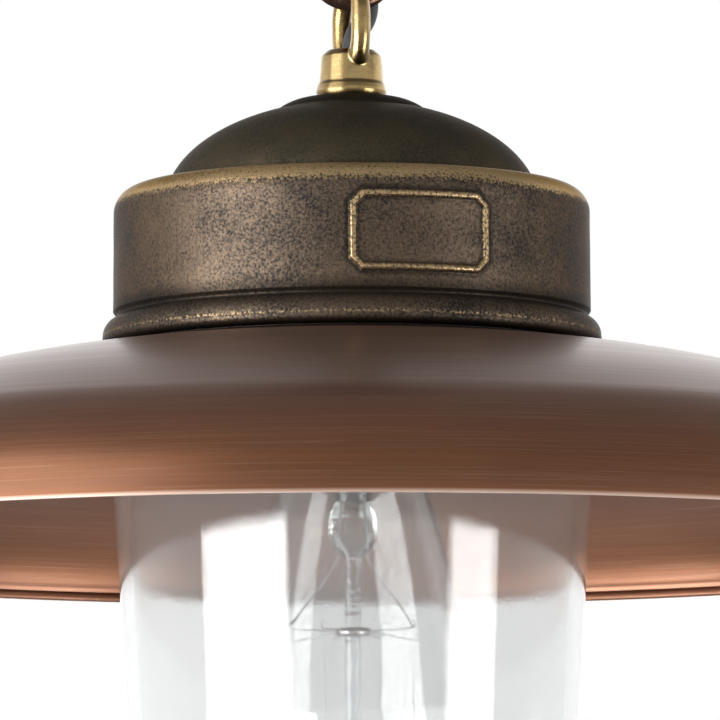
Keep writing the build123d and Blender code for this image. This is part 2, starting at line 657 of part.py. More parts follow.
holder_floor = HOLDER_TOP - HOLDER_ROOF
porcelain = turned(
    (HOLDER_BORE_R, HOLDER_BOTTOM),
    (HOLDER_R - HOLDER_SKIRT_IN - HOLDER_EDGE, HOLDER_BOTTOM),
    (HOLDER_R - HOLDER_SKIRT_IN, HOLDER_BOTTOM + HOLDER_EDGE),
    (HOLDER_R - HOLDER_SKIRT_IN, HOLDER_BOTTOM + HOLDER_SKIRT_H),
    (HOLDER_R, HOLDER_BOTTOM + HOLDER_SKIRT_H + 1.5 * HOLDER_SKIRT_IN),
    (HOLDER_R, HOLDER_TOP - HOLDER_EDGE),
    (HOLDER_R - HOLDER_EDGE, HOLDER_TOP),
    (0, HOLDER_TOP),
    (0, holder_floor),
    (HOLDER_BORE_R, holder_floor),
)
for side in (-1, 1):
    porcelain -= rod(M3_R + FIT, HOLDER_TOP - HOLDER_SCREW_L + 1, HOLDER_TOP + 1, side * HOLDER_SCREW_X, 0)
    porcelain -= rod(LEAD_HOLE_R, HOLDER_TOP - LEAD_DEPTH - 0.4, HOLDER_TOP + 1, side * LEAD_X, LEAD_Y)
keep("lampholder_body", porcelain)
shell_low = HOLDER_BOTTOM + SHELL_LOW
shell_in = SHELL_R - SHELL_T
shell_top = holder_floor - SEAT
keep("lampholder_shell", turned(
    (shell_in, shell_low), (SHELL_R, shell_low), (SHELL_R, shell_top),
    (SHELL_LIP_R, shell_top), (SHELL_LIP_R, shell_top - SHELL_T), (shell_in, shell_top - SHELL_T),
))
contact_low = BULB_TIP + SLIDE_GAP
riser_x = (CONTACT_L - CONTACT_T) / 2
contact = block((0, CONTACT_L), (0, CONTACT_W), shell_top - CONTACT_T, shell_top)
contact += block((riser_x, CONTACT_T), (0, CONTACT_W), contact_low, shell_top)
contact += block((0, CONTACT_L), (0, CONTACT_W), contact_low, contact_low + CONTACT_T)
keep("lampholder_contact", contact)

# ---------------------------------------------------------------- terminal block and wires

terminal_low = GEAR_BOTTOM - SEAT - TERMINAL_H
wire_in_z = terminal_low + TERMINAL_H / 2
terminal = block((0, TERMINAL_L), (TERMINAL_Y, TERMINAL_W), terminal_low, GEAR_BOTTOM - SEAT)
pole_x = (-POLE_PITCH, 0.0, POLE_PITCH)
for x in pole_x:
    terminal -= Pos(x, TERMINAL_Y, wire_in_z) * Rot(90, 0, 0) * Cylinder(TERMINAL_BORE_R, 2 * TERMINAL_W)
    terminal -= rod(TERMINAL_BORE_R + FIT, terminal_low - 1, terminal_low + 3.5, x, TERMINAL_Y)
keep("terminal_block", terminal)
pole_screws = [rod(TERMINAL_BORE_R, terminal_low + 0.3, terminal_low + 3.3, x, TERMINAL_Y) for x in pole_x]
keep("terminal_screws", Compound(pole_screws))

wire_turn = NIPPLE_LOW - 3.4
terminal_front = TERMINAL_Y - TERMINAL_W / 2
for name, x, spot in (("live_wire", -POLE_PITCH, 150), ("neutral_wire", POLE_PITCH, 30)):
    core_x = CORE_PITCH_R * cos(radians(spot))
    core_y = CORE_PITCH_R * sin(radians(spot))
    route = [
        (core_x, core_y, CABLE_END),
        (core_x, core_y, wire_turn),
        (x * 0.75, terminal_front - 10, wire_in_z - 0.6),
        (x, terminal_front - 4, wire_in_z),
        (x, terminal_front + 4, wire_in_z),
    ]
    keep(name, tube(route, [1.8, 3.0, 2.0], CORE_R))
earth_route = [
    (0, -CORE_PITCH_R, CABLE_END),
    (0, -CORE_PITCH_R, wire_turn),
    (EARTH_SPOT[0] + 9.0, EARTH_SPOT[1] + 5.0, GEAR_BOTTOM - 3.4),
    (EARTH_SPOT[0] + 4.0, EARTH_SPOT[1] + 1.0, GEAR_BOTTOM - 2.4),
]
keep("earth_wire", tube(earth_route, [1.6, 5.0], CORE_R))
tag_low = GEAR_BOTTOM - SEAT - TAG_T
keep("earth_tag", Pos(*EARTH_SPOT, 0) * ring(TAG_R, M3_R + FIT, tag_low, tag_low + TAG_T))
keep("earth_screw", screw(M3_R, M3_HEAD_R, M3_HEAD_H, tag_low - SEAT, GEAR_TOP - 0.2, *EARTH_SPOT))

leads = []
for side in (-1, 1):
    pole = side * POLE_PITCH
    target = side * LEAD_X
    lead_route = [
        (pole, TERMINAL_Y + 4.0, wire_in_z),
        (pole, TERMINAL_Y + TERMINAL_W, wire_in_z),
        (pole, TERMINAL_Y + 9.0, wire_in_z - 15.0),
        (target, LEAD_Y, HOLDER_TOP + 4.6),
        (target, LEAD_Y, HOLDER_TOP - LEAD_DEPTH),
    ]
    leads.append(tube(lead_route, [3.0, 4.0, 2.4], WIRE_R))
keep("lamp_leads", Compound(leads))

# ---------------------------------------------------------------- gallery and its screws

gallery = ring(GALLERY_SEAT_R, GALLERY_HOLE_R, GALLERY_BOTTOM, GALLERY_TOP)
gallery += ring(GALLERY_R, GALLERY_SEAT_R, GALLERY_BOTTOM, GALLERY_TOP - GALLERY_STEP)
for x, y in screw_spots:
    gallery -= rod(M4_PASS_R, GALLERY_BOTTOM - 1, GALLERY_TOP + 1, x, y)
    gallery -= rod(M4_SINK_R, GALLERY_BOTTOM - 1, GALLERY_BOTTOM + M4_SINK, x, y)
keep("gallery_ring", gallery)
head_top = GALLERY_BOTTOM + M4_SINK - SEAT
gallery_screws = [
    screw(M4_R, M4_HEAD_R, M4_HEAD_H, head_top, GASKET_TOP + SCREW_BITE - 0.4, x, y) for x, y in screw_spots
]
keep("gallery_screws", Compound(gallery_screws))

# ---------------------------------------------------------------- glass, gasket and retaining ring


def glass_edge(inset, foot_corner):
    """One skin of the jar, from under its flange to the middle of its foot."""
    neck = (GLASS_NECK_R - inset, 0, FLANGE_BOTTOM)
    middle = (GLASS_MID_R - inset, 0, GLASS_MID_Z)
    foot = (GLASS_FOOT_R - inset, 0, GLASS_FOOT_Z)
    side = ThreePointArc(neck, middle, foot)
    lowest = (0, 0, GLASS_BOTTOM + inset)
    heel = (GLASS_FOOT_R - inset - foot_corner, 0, GLASS_BOTTOM + inset + GLASS_BELLY)
    corner = Spline(foot, heel, tangents=[side % 1, Vector(-1, 0, -0.12)], tangent_scalars=[1.1, 1.1])
    bottom = Spline(heel, lowest, tangents=[Vector(-1, 0, -0.12), Vector(-1, 0, 0)])
    return [side, corner, bottom], neck, lowest


jar_out, out_neck, out_low = glass_edge(0.0, GLASS_CORNER)
jar_in, in_neck, in_low = glass_edge(GLASS_WALL, GLASS_CORNER)
mouth = (GLASS_NECK_R - GLASS_WALL, 0, FLANGE_TOP)
lip = [
    Line(out_neck, (GLASS_FLANGE_R, 0, FLANGE_BOTTOM)),
    Line((GLASS_FLANGE_R, 0, FLANGE_BOTTOM), (GLASS_FLANGE_R, 0, FLANGE_TOP)),
    Line((GLASS_FLANGE_R, 0, FLANGE_TOP), mouth),
    Line(mouth, in_neck),
]
jar = revolve(make_face(jar_out + jar_in + lip + [Line(out_low, in_low)]), Axis.Z)
keep("glass_jar", jar)
mouth_r = GLASS_NECK_R - GLASS_WALL
keep("glass_gasket", ring(GLASS_FLANGE_R, mouth_r, FLANGE_TOP + SEAT, GALLERY_BOTTOM - SLIDE_GAP))

ring_in = GALLERY_R + SLIDE_GAP
ring_out = ring_in + RING_WALL
lip_top = FLANGE_BOTTOM - SLIDE_GAP
lip_low = lip_top - RING_LIP
ring_high = GALLERY_BOTTOM + RING_RISE
retaining_ring = turned(
    (GLASS_NECK_R + SLIDE_GAP, lip_low),
    (ring_out - RING_EDGE, lip_low),
    (ring_out, lip_low + RING_EDGE),
    (ring_out, ring_high - RING_EDGE),
    (ring_out - RING_EDGE, ring_high),
    (ring_in, ring_high),
    (ring_in, lip_top),
    (GLASS_NECK_R + SLIDE_GAP, lip_top),
)
for x, y in around(NOTCH_COUNT, ring_out + NOTCH_OUT):
    retaining_ring -= rod(NOTCH_R, lip_low - 1, ring_high - NOTCH_TOP, x, y)
keep("retaining_ring", retaining_ring)

# ---------------------------------------------------------------- bulb

tip_low = BULB_TIP - TIP_H
ins_low = tip_low - INSULATOR_H
base_low = ins_low - BASE_H
base_top = ins_low - SEAT
keep("bulb_tip", turned((0, tip_low), (TIP_R, tip_low), (TIP_R - TIP_EDGE, BULB_TIP), (0, BULB_TIP)))
keep("bulb_insulator", turned(
    (0, ins_low), (BASE_R - INSULATOR_IN, ins_low), (TIP_R + 0.4, tip_low - SEAT), (0, tip_low - SEAT),
))
base_in = BASE_R - BASE_T
shoulder_r, shoulder_z = BASE_R - BASE_SHOULDER[0], base_top - BASE_SHOULDER[1]
keep("bulb_base", turned(
    (base_in, base_low), (BASE_R, base_low), (BASE_R, shoulder_z), (shoulder_r, base_top), (0, base_top),
    (0, base_top - BASE_T), (shoulder_r - BASE_T, base_top - BASE_T), (base_in, shoulder_z - BASE_T),
))


def way_down(share):
    """Height at a share of the way from the lamp's neck to the middle of its ball."""
    return BULB_NECK + (BULB_MID - BULB_NECK) * share


def ball_point(radius, angle):
    """Point of the ball at an angle above its middle, in degrees."""
    return (radius * cos(radians(angle)), 0, BULB_MID + radius * sin(radians(angle)))


def bulb_edge(t):
    """One skin of the envelope; t is its distance inside the outer skin."""
    neck = (BULB_NECK_R - BULB_NECK_IN - t, 0, BULB_NECK + BULB_NECK_LAP)
    throat = (BULB_NECK_R - t, 0, BULB_NECK)
    waist = (BULB_R * BULB_WAIST[0] - t, 0, way_down(BULB_WAIST[1]))
    side = (BULB_R * BULB_FLANK[0] - t, 0, way_down(BULB_FLANK[1]))
    ball_r = BULB_R - t
    ball_top = ball_point(ball_r, BULB_BALL_SLOPE)
    low_side = ball_point(ball_r, -45)
    pole = (0, 0, BULB_MID - ball_r)
    ends = [Vector(0.4, 0, -1), Vector(sin(radians(BULB_BALL_SLOPE)), 0, -1)]
    flank = Spline(neck, throat, waist, side, ball_top, tangents=ends)
    upper_ball = ThreePointArc(ball_top, ball_point(ball_r, 0), low_side)
    lower_ball = ThreePointArc(low_side, ball_point(ball_r, -67.5), pole)
    return [flank, upper_ball, lower_ball], neck, pole


env_out, env_neck, env_pole = bulb_edge(0.0)
env_in, env_neck_in, env_pole_in = bulb_edge(BULB_GLASS)
env_ends = [Line(env_neck, env_neck_in), Line(env_pole, env_pole_in)]
envelope = revolve(make_face(env_out + env_in + env_ends), Axis.Z)
envelope -= ring(BASE_R + 5, base_in - FIT, base_low, BULB_NECK + 10)
keep("bulb_envelope", envelope)

press_top = BULB_NECK - PRESS_TOP_DROP
press_low = press_top - PRESS_H
flare_top = BULB_NECK + BULB_NECK_LAP - 0.4
flare_foot = BULB_NECK - 7.0
stem = turned(
    (0, flare_top), (STEM_FLARE_R, flare_top), (6.0, flare_foot), (PRESS_T, press_top), (0, press_top)
)
stem += block((0, PRESS_W), (0, PRESS_T), press_low, press_top + 1.0)
stem += rod(ROD_R, LOW_WHEEL_Z - 2.0, press_low + 1)
keep("bulb_stem", stem)


def wheel(z, count):
    """Hub with radial support wires."""
    hub = rod(HUB_R, z - HUB_H / 2, z + HUB_H / 2) - rod(ROD_R + SEAT, z - HUB_H, z + HUB_H)
    for x, y in around(count, WHEEL_R, 22.5):
        inner = (ROD_R + 0.5) / WHEEL_R
        hub += tube([(x * inner, y * inner, z), (x, y, z + SPOKE_RISE)], None, SPOKE_R)
    return hub


keep("bulb_supports", Compound([wheel(WHEEL_Z, FILAMENT_COUNT), wheel(LOW_WHEEL_Z, FILAMENT_COUNT)]))
lead_wires = []
for side in (-1, 1):
    lead_foot = (side * LEAD_AT_PRESS, 0, press_low - 0.05)
    lead_end = (side * LEAD_AT_WHEEL[0], LEAD_AT_WHEEL[1], WHEEL_Z + LEAD_AT_WHEEL[2])
    lead_wires.append(tube([lead_foot, lead_end], None, LEAD_OUT_R))
keep("bulb_lead_wires", Compound(lead_wires))
strand_spots = around(FILAMENT_COUNT, WHEEL_R + 0.6, 22.5)[:-1]
strands = [rod(FILAMENT_R, LOW_WHEEL_Z + 0.6, WHEEL_Z + 0.2, x, y) for x, y in strand_spots]
keep("bulb_filament", Compound(strands))

# ---------------------------------------------------------------- chain

for i in range(LINK_COUNT):
    low = LINK_1_LOW + i * LINK_PITCH + LINK_R
    link = long_ring(low, low + LINK_STRAIGHT, LINK_R, LINK_WIRE_R)
    quarter = Rot(0, 0, 90 * (i % 2))
    keep(f"chain_link_{i + 1}", chain_axes(quarter * link))

# ---------------------------------------------------------------- ceiling hook, plate and rose

sweep_end = radians(90 + HOOK_SWEEP)
sweep_mid = radians(90 + HOOK_SWEEP / 2)


def hook_point(angle):
    """Point of the hook's eye, which lies in the YZ plane."""
    return (0, HOOK_R * cos(angle), HOOK_MID + HOOK_R * sin(angle))


eye_path = ThreePointArc(hook_point(pi / 2), hook_point(sweep_mid), hook_point(sweep_end))
eye = sweep(Plane(eye_path @ 0, z_dir=eye_path % 0) * Circle(HOOK_WIRE_R), path=eye_path)
tip = Pos(*hook_point(sweep_end)) * Sphere(HOOK_WIRE_R)
plate_low = RIM_DROP - PLATE_T
hook = eye + tip + rod(SHANK_R, HOOK_MID + HOOK_R - 0.5, RIM_DROP - CEILING_GAP)
keep("ceiling_hook", chain_axes(hook))

plate = ring(PLATE_R, SHANK_R + FIT, plate_low, RIM_DROP)
for side in (-1, 1):
    plate -= rod(PLATE_HOLE_R, plate_low - 1, RIM_DROP + 1, side * PLATE_HOLE_SPACING / 2, 0)
keep("ceiling_plate", plate)
keep("plate_nut", hex_nut(NUT_M6_AF, NUT_M6_H, SHANK_R + FIT, plate_low - SEAT - NUT_M6_H))

rose_arc_r = ROSE_R - ROSE_FLAT_R
skirt_low = RIM_DROP - ROSE_SKIRT


def rose_line(inset):
    """One skin of the rose from its flat bottom to its mouth."""
    r = rose_arc_r - inset
    h = ROSE_H - ROSE_SKIRT - inset
    mid_r = ROSE_FLAT_R + r * sin(pi / 4)
    mid_z = skirt_low - h * cos(pi / 4)
    foot = (ROSE_FLAT_R, 0, ROSE_BOTTOM + inset)
    skirt = (ROSE_R - inset, 0, skirt_low)
    arc = ThreePointArc(foot, (mid_r, 0, mid_z), skirt)
    return foot, arc, skirt


flat_out, arc_out, skirt_out = rose_line(0.0)
flat_in, arc_in, skirt_in = rose_line(ROSE_SHEET)
hole_low = (SHANK_R + FIT, 0, ROSE_BOTTOM)
hole_high = (SHANK_R + FIT, 0, ROSE_BOTTOM + ROSE_SHEET)
mouth_out = (ROSE_R, 0, RIM_DROP - CEILING_GAP)
mouth_in = (ROSE_R - ROSE_SHEET, 0, RIM_DROP - CEILING_GAP)
rose_face = make_face([
    Line(hole_low, flat_out),
    arc_out,
    Line(skirt_out, mouth_out),
    Line(mouth_out, mouth_in),
    Line(mouth_in, skirt_in),
    arc_in,
    Line(flat_in, hole_high),
    Line(hole_high, hole_low),
])
bush_x, bush_y, _ = chain_point(BUSH_X, BUSH_Y, 0)
rose = revolve(rose_face, Axis.Z) - rod(BUSH_R, ROSE_BOTTOM - 1, ROSE_BOTTOM + 3, bush_x, bush_y)
keep("ceiling_rose", rose)
keep("rose_nut", hex_nut(NUT_M6_AF, NUT_M6_H, SHANK_R + FIT, ROSE_BOTTOM - SEAT - NUT_M6_H))
bush_low = ROSE_BOTTOM - BUSH_LIP_T
bush = rod(BUSH_R - FIT, bush_low, ROSE_BOTTOM + BUSH_RISE, bush_x, bush_y)
bush += rod(BUSH_R + BUSH_LIP, bush_low, ROSE_BOTTOM - SEAT, bush_x, bush_y)
bush -= rod(CABLE_R, bush_low - 1, ROSE_BOTTOM + BUSH_RISE + 1, bush_x, bush_y)
keep("cable_bush", bush)

rose_block_low = ROSE_BOTTOM + ROSE_BLOCK_LIFT
rose_block = block((bush_x, ROSE_BLOCK[0]), (bush_y, ROSE_BLOCK[1]), rose_block_low, plate_low - SEAT)
keep("rose_terminal_block", rose_block)
rose_screws = [
    rod(M3_R, rose_block_low - 1.2, rose_block_low, bush_x + i * ROSE_SCREW_PITCH, bush_y + ROSE_SCREW_SIDE)
    for i in (-1, 0, 1)
]
keep("rose_terminal_screws", Compound(rose_screws))

# ---------------------------------------------------------------- supply cable, one length for each joint

link_middles = [LINK_1_LOW + i * LINK_PITCH + LINK_R + LINK_STRAIGHT / 2 for i in range(LINK_COUNT)]
run_x, run_y, _ = chain_point(CABLE_X, CABLE_Y, 0)
cable_low = [
    (0, 0, CABLE_END + SEAT),
    (0, 0, COLLAR_TOP + 0.8),
    (run_x, run_y, COLLAR_TOP + 0.8 + CABLE_OFFSET_RISE),
    (run_x, run_y, link_middles[0]),
]
keep("cable_1", tube(cable_low, CABLE_BEND, CABLE_R))
for i in range(LINK_COUNT - 1):
    run = [(run_x, run_y, link_middles[i]), (run_x, run_y, link_middles[i + 1])]
    keep(f"cable_{i + 2}", tube(run, None, CABLE_R))
cable_top = [
    (run_x, run_y, link_middles[-1]),
    (run_x, run_y, HOOK_MID + 1.0),
    (bush_x, bush_y, bush_low - 2.0),
    (bush_x, bush_y, rose_block_low - SEAT),
]
keep(f"cable_{LINK_COUNT + 1}", tube(cable_top, CABLE_TOP_BEND, CABLE_R))

# ---------------------------------------------------------------- files

for name, shape in nodes.items():
    export_step(shape, f"parts/{name}.step")
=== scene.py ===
# %% [markdown]
# A ship lantern, built piece by piece. The imported CAD model gives the frame: every piece here sits where
# its CAD node sits, in metres, with the origin in the ceiling plate's top face and +Z up. This first cell
# loads that frame, and keeps the CAD model's box, from which the floor's height is taken.

# %% Load the frame
import bpy
import bmesh
import json
import random
from math import acos, asin, atan2, cos, degrees, hypot, pi, radians, sin, sqrt
from mathutils import Matrix, Vector, noise


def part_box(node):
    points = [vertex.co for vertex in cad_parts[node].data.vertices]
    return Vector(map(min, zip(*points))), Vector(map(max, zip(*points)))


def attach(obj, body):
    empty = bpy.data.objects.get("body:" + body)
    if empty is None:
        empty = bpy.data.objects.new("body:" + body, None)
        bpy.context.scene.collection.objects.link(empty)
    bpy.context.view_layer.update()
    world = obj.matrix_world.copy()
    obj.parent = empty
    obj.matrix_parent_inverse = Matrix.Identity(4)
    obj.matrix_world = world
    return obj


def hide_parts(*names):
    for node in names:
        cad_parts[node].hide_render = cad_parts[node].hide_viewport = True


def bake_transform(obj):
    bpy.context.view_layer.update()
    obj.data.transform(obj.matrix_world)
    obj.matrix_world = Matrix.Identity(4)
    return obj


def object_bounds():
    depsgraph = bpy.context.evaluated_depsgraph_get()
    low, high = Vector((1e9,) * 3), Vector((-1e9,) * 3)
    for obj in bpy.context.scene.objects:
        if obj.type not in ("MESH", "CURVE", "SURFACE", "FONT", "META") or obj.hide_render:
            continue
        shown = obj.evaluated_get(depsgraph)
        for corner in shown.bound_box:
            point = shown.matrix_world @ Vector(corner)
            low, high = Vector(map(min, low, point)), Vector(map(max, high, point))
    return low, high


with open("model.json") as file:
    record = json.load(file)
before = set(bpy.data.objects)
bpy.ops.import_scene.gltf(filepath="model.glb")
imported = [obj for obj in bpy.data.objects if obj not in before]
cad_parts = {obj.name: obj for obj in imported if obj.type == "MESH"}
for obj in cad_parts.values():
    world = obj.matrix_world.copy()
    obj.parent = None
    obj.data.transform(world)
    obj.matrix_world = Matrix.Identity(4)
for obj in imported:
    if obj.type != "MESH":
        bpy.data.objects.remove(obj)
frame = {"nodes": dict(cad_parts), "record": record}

cad_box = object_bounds()

# %% [markdown]
# Sizes. The shade's rim is the level that all heights in the lamp head are counted from, in millimetres,
# the way a maker would measure it on the bench. `up` turns such a height into a height of the frame.

# %% Units and levels
mm = 0.001
rim_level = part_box("shade")[0].z
ceiling_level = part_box("ceiling_plate")[1].z
chain_turn = radians(15.3)


def up(h):
    """Height above the shade's rim in millimetres, as a height of the frame in metres."""
    return rim_level + h * mm


def level(z):
    """The reverse: a height of the frame as millimetres above the rim."""
    return (z - rim_level) / mm


print("rim", round(rim_level, 4), "ceiling", round(ceiling_level, 4))

# %% [markdown]
# The camera stands 2.19 m in front of the lamp and a little below its rim, looking slightly up, with a very
# long lens. That is how the shade's rim, the cap and the glass come to overlap as they do.

# %% Camera
camera_data = bpy.data.cameras.new("camera")
camera_data.sensor_width = 36.0
camera_data.lens = 425.0
camera_data.clip_end = 60.0
camera = bpy.data.objects.new("camera", camera_data)
bpy.context.scene.collection.objects.link(camera)
camera.location = (2.04 * mm, -2.190, up(-178))
tilt = Matrix.Rotation(radians(90 + 5.947), 4, "X")
roll = Matrix.Rotation(radians(-0.17), 4, "Z")
camera.rotation_euler = (tilt @ roll).to_euler()
bpy.context.scene.camera = camera
bpy.context.scene.view_settings.view_transform = "Standard"
print("camera at", tuple(round(v, 3) for v in camera.location))

# %% [markdown]
# Turned pieces. Most of a lantern is turned or spun, so one helper makes a lathe mesh from an outline of
# (radius, height) points. `soften` rounds an outline's corners, `arc_through` draws an arc by three points
# and `flow` a free curve. A turned piece can be bent out of round by `shape`, which threads and scallops
# use, and it can carry two masks painted on its points: one for rubbed edges, which on the shade is a
# painted highlight along the folded edge, and one for dark hollows, which on the cap also holds painted
# shadow under the bead.


# %% Outline helpers
def soften(points, bend, steps=6, closed=True):
    """Round the corners of an outline; bend is one radius, or a list with one for each point."""
    count = len(points)
    out = []
    for i, p in enumerate(points):
        r = bend[i] if isinstance(bend, (list, tuple)) else bend
        at_end = not closed and i in (0, count - 1)
        if at_end or r <= 0:
            out.append(tuple(p))
            continue
        here = Vector(p)
        back = Vector(points[i - 1]) - here
        on = Vector(points[(i + 1) % count]) - here
        half = back.angle(on) / 2
        cut = min(r / max(abs(sin(half) / cos(half)), 1e-6), back.length * 0.48, on.length * 0.48)
        a = here + back.normalized() * cut
        b = here + on.normalized() * cut
        for k in range(steps + 1):
            t = k / steps
            out.append(tuple(a.lerp(here, t).lerp(here.lerp(b, t), t)))
    return out


def arc_through(a, b, c, steps=16):
    """Points of the arc through three points of the plane."""
    ax, ay, bx, by, cx, cy = *a, *b, *c
    d = 2 * (ax * (by - cy) + bx * (cy - ay) + cx * (ay - by))
    ux = ((ax**2 + ay**2) * (by - cy) + (bx**2 + by**2) * (cy - ay) + (cx**2 + cy**2) * (ay - by)) / d
    uy = ((ax**2 + ay**2) * (cx - bx) + (bx**2 + by**2) * (ax - cx) + (cx**2 + cy**2) * (bx - ax)) / d
    r = hypot(ax - ux, ay - uy)
    first = atan2(ay - uy, ax - ux)
    middle = (atan2(by - uy, bx - ux) - first) % (2 * pi)
    last = (atan2(cy - uy, cx - ux) - first) % (2 * pi)
    span = last if middle < last else last - 2 * pi
    return [(ux + r * cos(first + span * k / steps), uy + r * sin(first + span * k / steps))
            for k in range(steps + 1)]


def flow(points, steps=8):
    """Free curve through points of any dimension."""
    pts = [Vector(p) for p in points]
    pts = [2 * pts[0] - pts[1]] + pts + [2 * pts[-1] - pts[-2]]
    out = []
    for a, b, c, d in zip(pts, pts[1:], pts[2:], pts[3:]):
        for k in range(steps):
            t = k / steps
            out.append(tuple(0.5 * (2 * b + (c - a) * t + (2 * a - 5 * b + 4 * c - d) * t**2
                                    + (3 * b - a - 3 * c + d) * t**3)))
    return out + [tuple(pts[-2])]


def smooth_step(x, low, high):
    """0 below low, 1 above high, soft between."""
    t = min(max((x - low) / (high - low), 0.0), 1.0)
    return t * t * (3 - 2 * t)


def bump_at(x, middle, width):
    """1 at the middle, falling to 0 at width."""
    return 1 - smooth_step(abs(x - middle), 0.0, width)


print("an arc of", len(arc_through((0, 0), (1, 1), (2, 0))), "points")


# %% Lathe
def even_angles(count):
    """Angles round the lathe, counted from the front of the lamp."""
    return [2 * pi * i / count for i in range(count)]


def lathe_into(bm, outline, angles, closed=True, shape=None, centre=(0.0, 0.0)):
    """Turn an outline of (radius, height) points in millimetres; angle 0 is the lamp's front, -Y."""
    rings = []
    places = []
    for r, h in outline:
        row = []
        spots = [0.0] if r < 1e-6 else angles
        for a in spots:
            rr, hh = (r, h) if shape is None else shape(r, h, a)
            vert = bm.verts.new((centre[0] + rr * mm * sin(a), centre[1] - rr * mm * cos(a), up(hh)))
            row.append(vert)
            places.append((vert, r, h, a))
        rings.append(row)
    pairs = list(zip(rings, rings[1:])) + ([(rings[-1], rings[0])] if closed else [])
    count = len(angles)
    for low, high in pairs:
        for i in range(count):
            j = (i + 1) % count
            corners = (low[i % len(low)], low[j % len(low)], high[j % len(high)], high[i % len(high)])
            corners = list(dict.fromkeys(corners))
            if len(corners) > 2:
                bm.faces.new(corners)
    return places


def finish_mesh(bm, name, crease=40.0):
    """Turn a bmesh into an object with smooth faces and sharp creases."""
    bmesh.ops.recalc_face_normals(bm, faces=bm.faces[:])
    mesh = bpy.data.meshes.new(name)
    bm.to_mesh(mesh)
    bm.free()
    mesh.shade_smooth()
    mesh.set_sharp_from_angle(angle=radians(crease))
    piece = bpy.data.objects.new(name, mesh)
    bpy.context.scene.collection.objects.link(piece)
    return piece


def turned(name, outline, count=160, angles=None, closed=True, shape=None, wear_and_highlight=None, soot_and_shadow=None,
           centre=(0.0, 0.0), crease=40.0):
    """A lathe piece with its masks for rubbed edges and dark hollows, which also carry painted highlight and
    painted shadow.
    """
    bm = bmesh.new()
    layers = [bm.verts.layers.float.new("wear_and_highlight"), bm.verts.layers.float.new("soot_and_shadow")]
    places = lathe_into(bm, outline, angles or even_angles(count), closed, shape, centre)
    for vert, r, h, a in places:
        for layer, mask in zip(layers, (wear_and_highlight, soot_and_shadow)):
            if mask is not None:
                vert[layer] = mask(r, h, a)
    return finish_mesh(bm, name, crease)


print("lathe ready")

# %% [markdown]
# Bars. The chain, the bail, the hook, the cable and the lamp's wires are round bars along a line. `pipe`
# carries a circle along the line without twisting it; the ends of an open bar are rounded off.


# %% Bar helper
def pipe(bm, points, radius, closed=False, sides=18, blunt=True):
    """Add a round bar along points in metres; radius is one number in metres or one for each point."""
    pts = [Vector(p) for p in points]
    count = len(pts)
    radii = radius if isinstance(radius, (list, tuple)) else [radius] * count
    tangents = []
    for i in range(count):
        before = pts[i - 1] if (closed or i > 0) else pts[i]
        after = pts[(i + 1) % count] if (closed or i < count - 1) else pts[i]
        tangents.append((after - before).normalized())
    side = tangents[0].orthogonal().normalized()
    rings = []
    for p, t, r in zip(pts, tangents, radii):
        side = (side - t * side.dot(t)).normalized()
        across = t.cross(side)
        rings.append([
            bm.verts.new(p + (side * cos(2 * pi * k / sides) + across * sin(2 * pi * k / sides)) * r)
            for k in range(sides)
        ])
    pairs = list(zip(rings, rings[1:])) + ([(rings[-1], rings[0])] if closed else [])
    for low, high in pairs:
        for k in range(sides):
            n = (k + 1) % sides
            bm.faces.new((low[k], low[n], high[n], high[k]))
    if not closed:
        for ring, p, t, r in ((rings[0], pts[0], -tangents[0], radii[0]),
                              (rings[-1], pts[-1], tangents[-1], radii[-1])):
            lift = 0.45 * r if blunt else 0.0
            tip = bm.verts.new(p + t * lift)
            shoulder = [bm.verts.new(p + (v.co - p) * 0.72 + t * lift * 0.72) for v in ring]
            for k in range(sides):
                n = (k + 1) % sides
                bm.faces.new((ring[k], ring[n], shoulder[n], shoulder[k]))
                bm.faces.new((shoulder[k], shoulder[n], tip))


def turn_chain(p):
    """From the chain's own axes to the frame's."""
    return Matrix.Rotation(chain_turn, 3, "Z") @ Vector(p)


print("bars ready")

# %% [markdown]
# Settling a piece. Each new piece takes its material, rides on a body of the frame, and hides the plain CAD
# node it stands for.


# %% Settle helper
def settle(piece, body, finish, slot, *stands_for):
    """Give a piece its material, its body and the CAD nodes it replaces; slot is not used."""
    piece.data.materials.clear()
    piece.data.materials.append(finish)
    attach(piece, body)
    if stands_for:
        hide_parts(*stands_for)
    print(piece.name, len(piece.data.vertices), "points on", body)
    return piece


# %% [markdown]
# Shader helpers. A node group is built once and placed in many materials. `group` starts one with named
# sockets, `put` adds a node with its values, and `join` wires two sockets.


# %% Shader helpers
def put(tree, kind, values=None, **settings):
    """Add a node, set its properties and the values of its named or numbered inputs."""
    node = tree.nodes.new(kind)
    for key, value in settings.items():
        setattr(node, key, value)
    for key, value in (values or {}).items():
        node.inputs[key].default_value = value
    return node


def join(tree, source, target):
    """Wire an output socket to an input socket."""
    tree.links.new(source, target)


def group(name, inputs, outputs):
    """Start a shader node group; inputs maps a name to its usual value."""
    tree = bpy.data.node_groups.new(name, "ShaderNodeTree")
    for key, value in inputs.items():
        socket = tree.interface.new_socket(name=key, in_out="INPUT", socket_type="NodeSocketFloat")
        socket.default_value = value
    for key in outputs:
        tree.interface.new_socket(name=key, in_out="OUTPUT", socket_type="NodeSocketFloat")
    return tree, tree.nodes.new("NodeGroupInput"), tree.nodes.new("NodeGroupOutput")


def math(tree, operation, a, b=0.5, clamp=False):
    """A math node; a and b are sockets or numbers."""
    node = put(tree, "ShaderNodeMath", operation=operation, use_clamp=clamp)
    for index, value in enumerate((a, b)):
        if hasattr(value, "is_output"):
            join(tree, value, node.inputs[index])
        else:
            node.inputs[index].default_value = value
    return node.outputs[0]


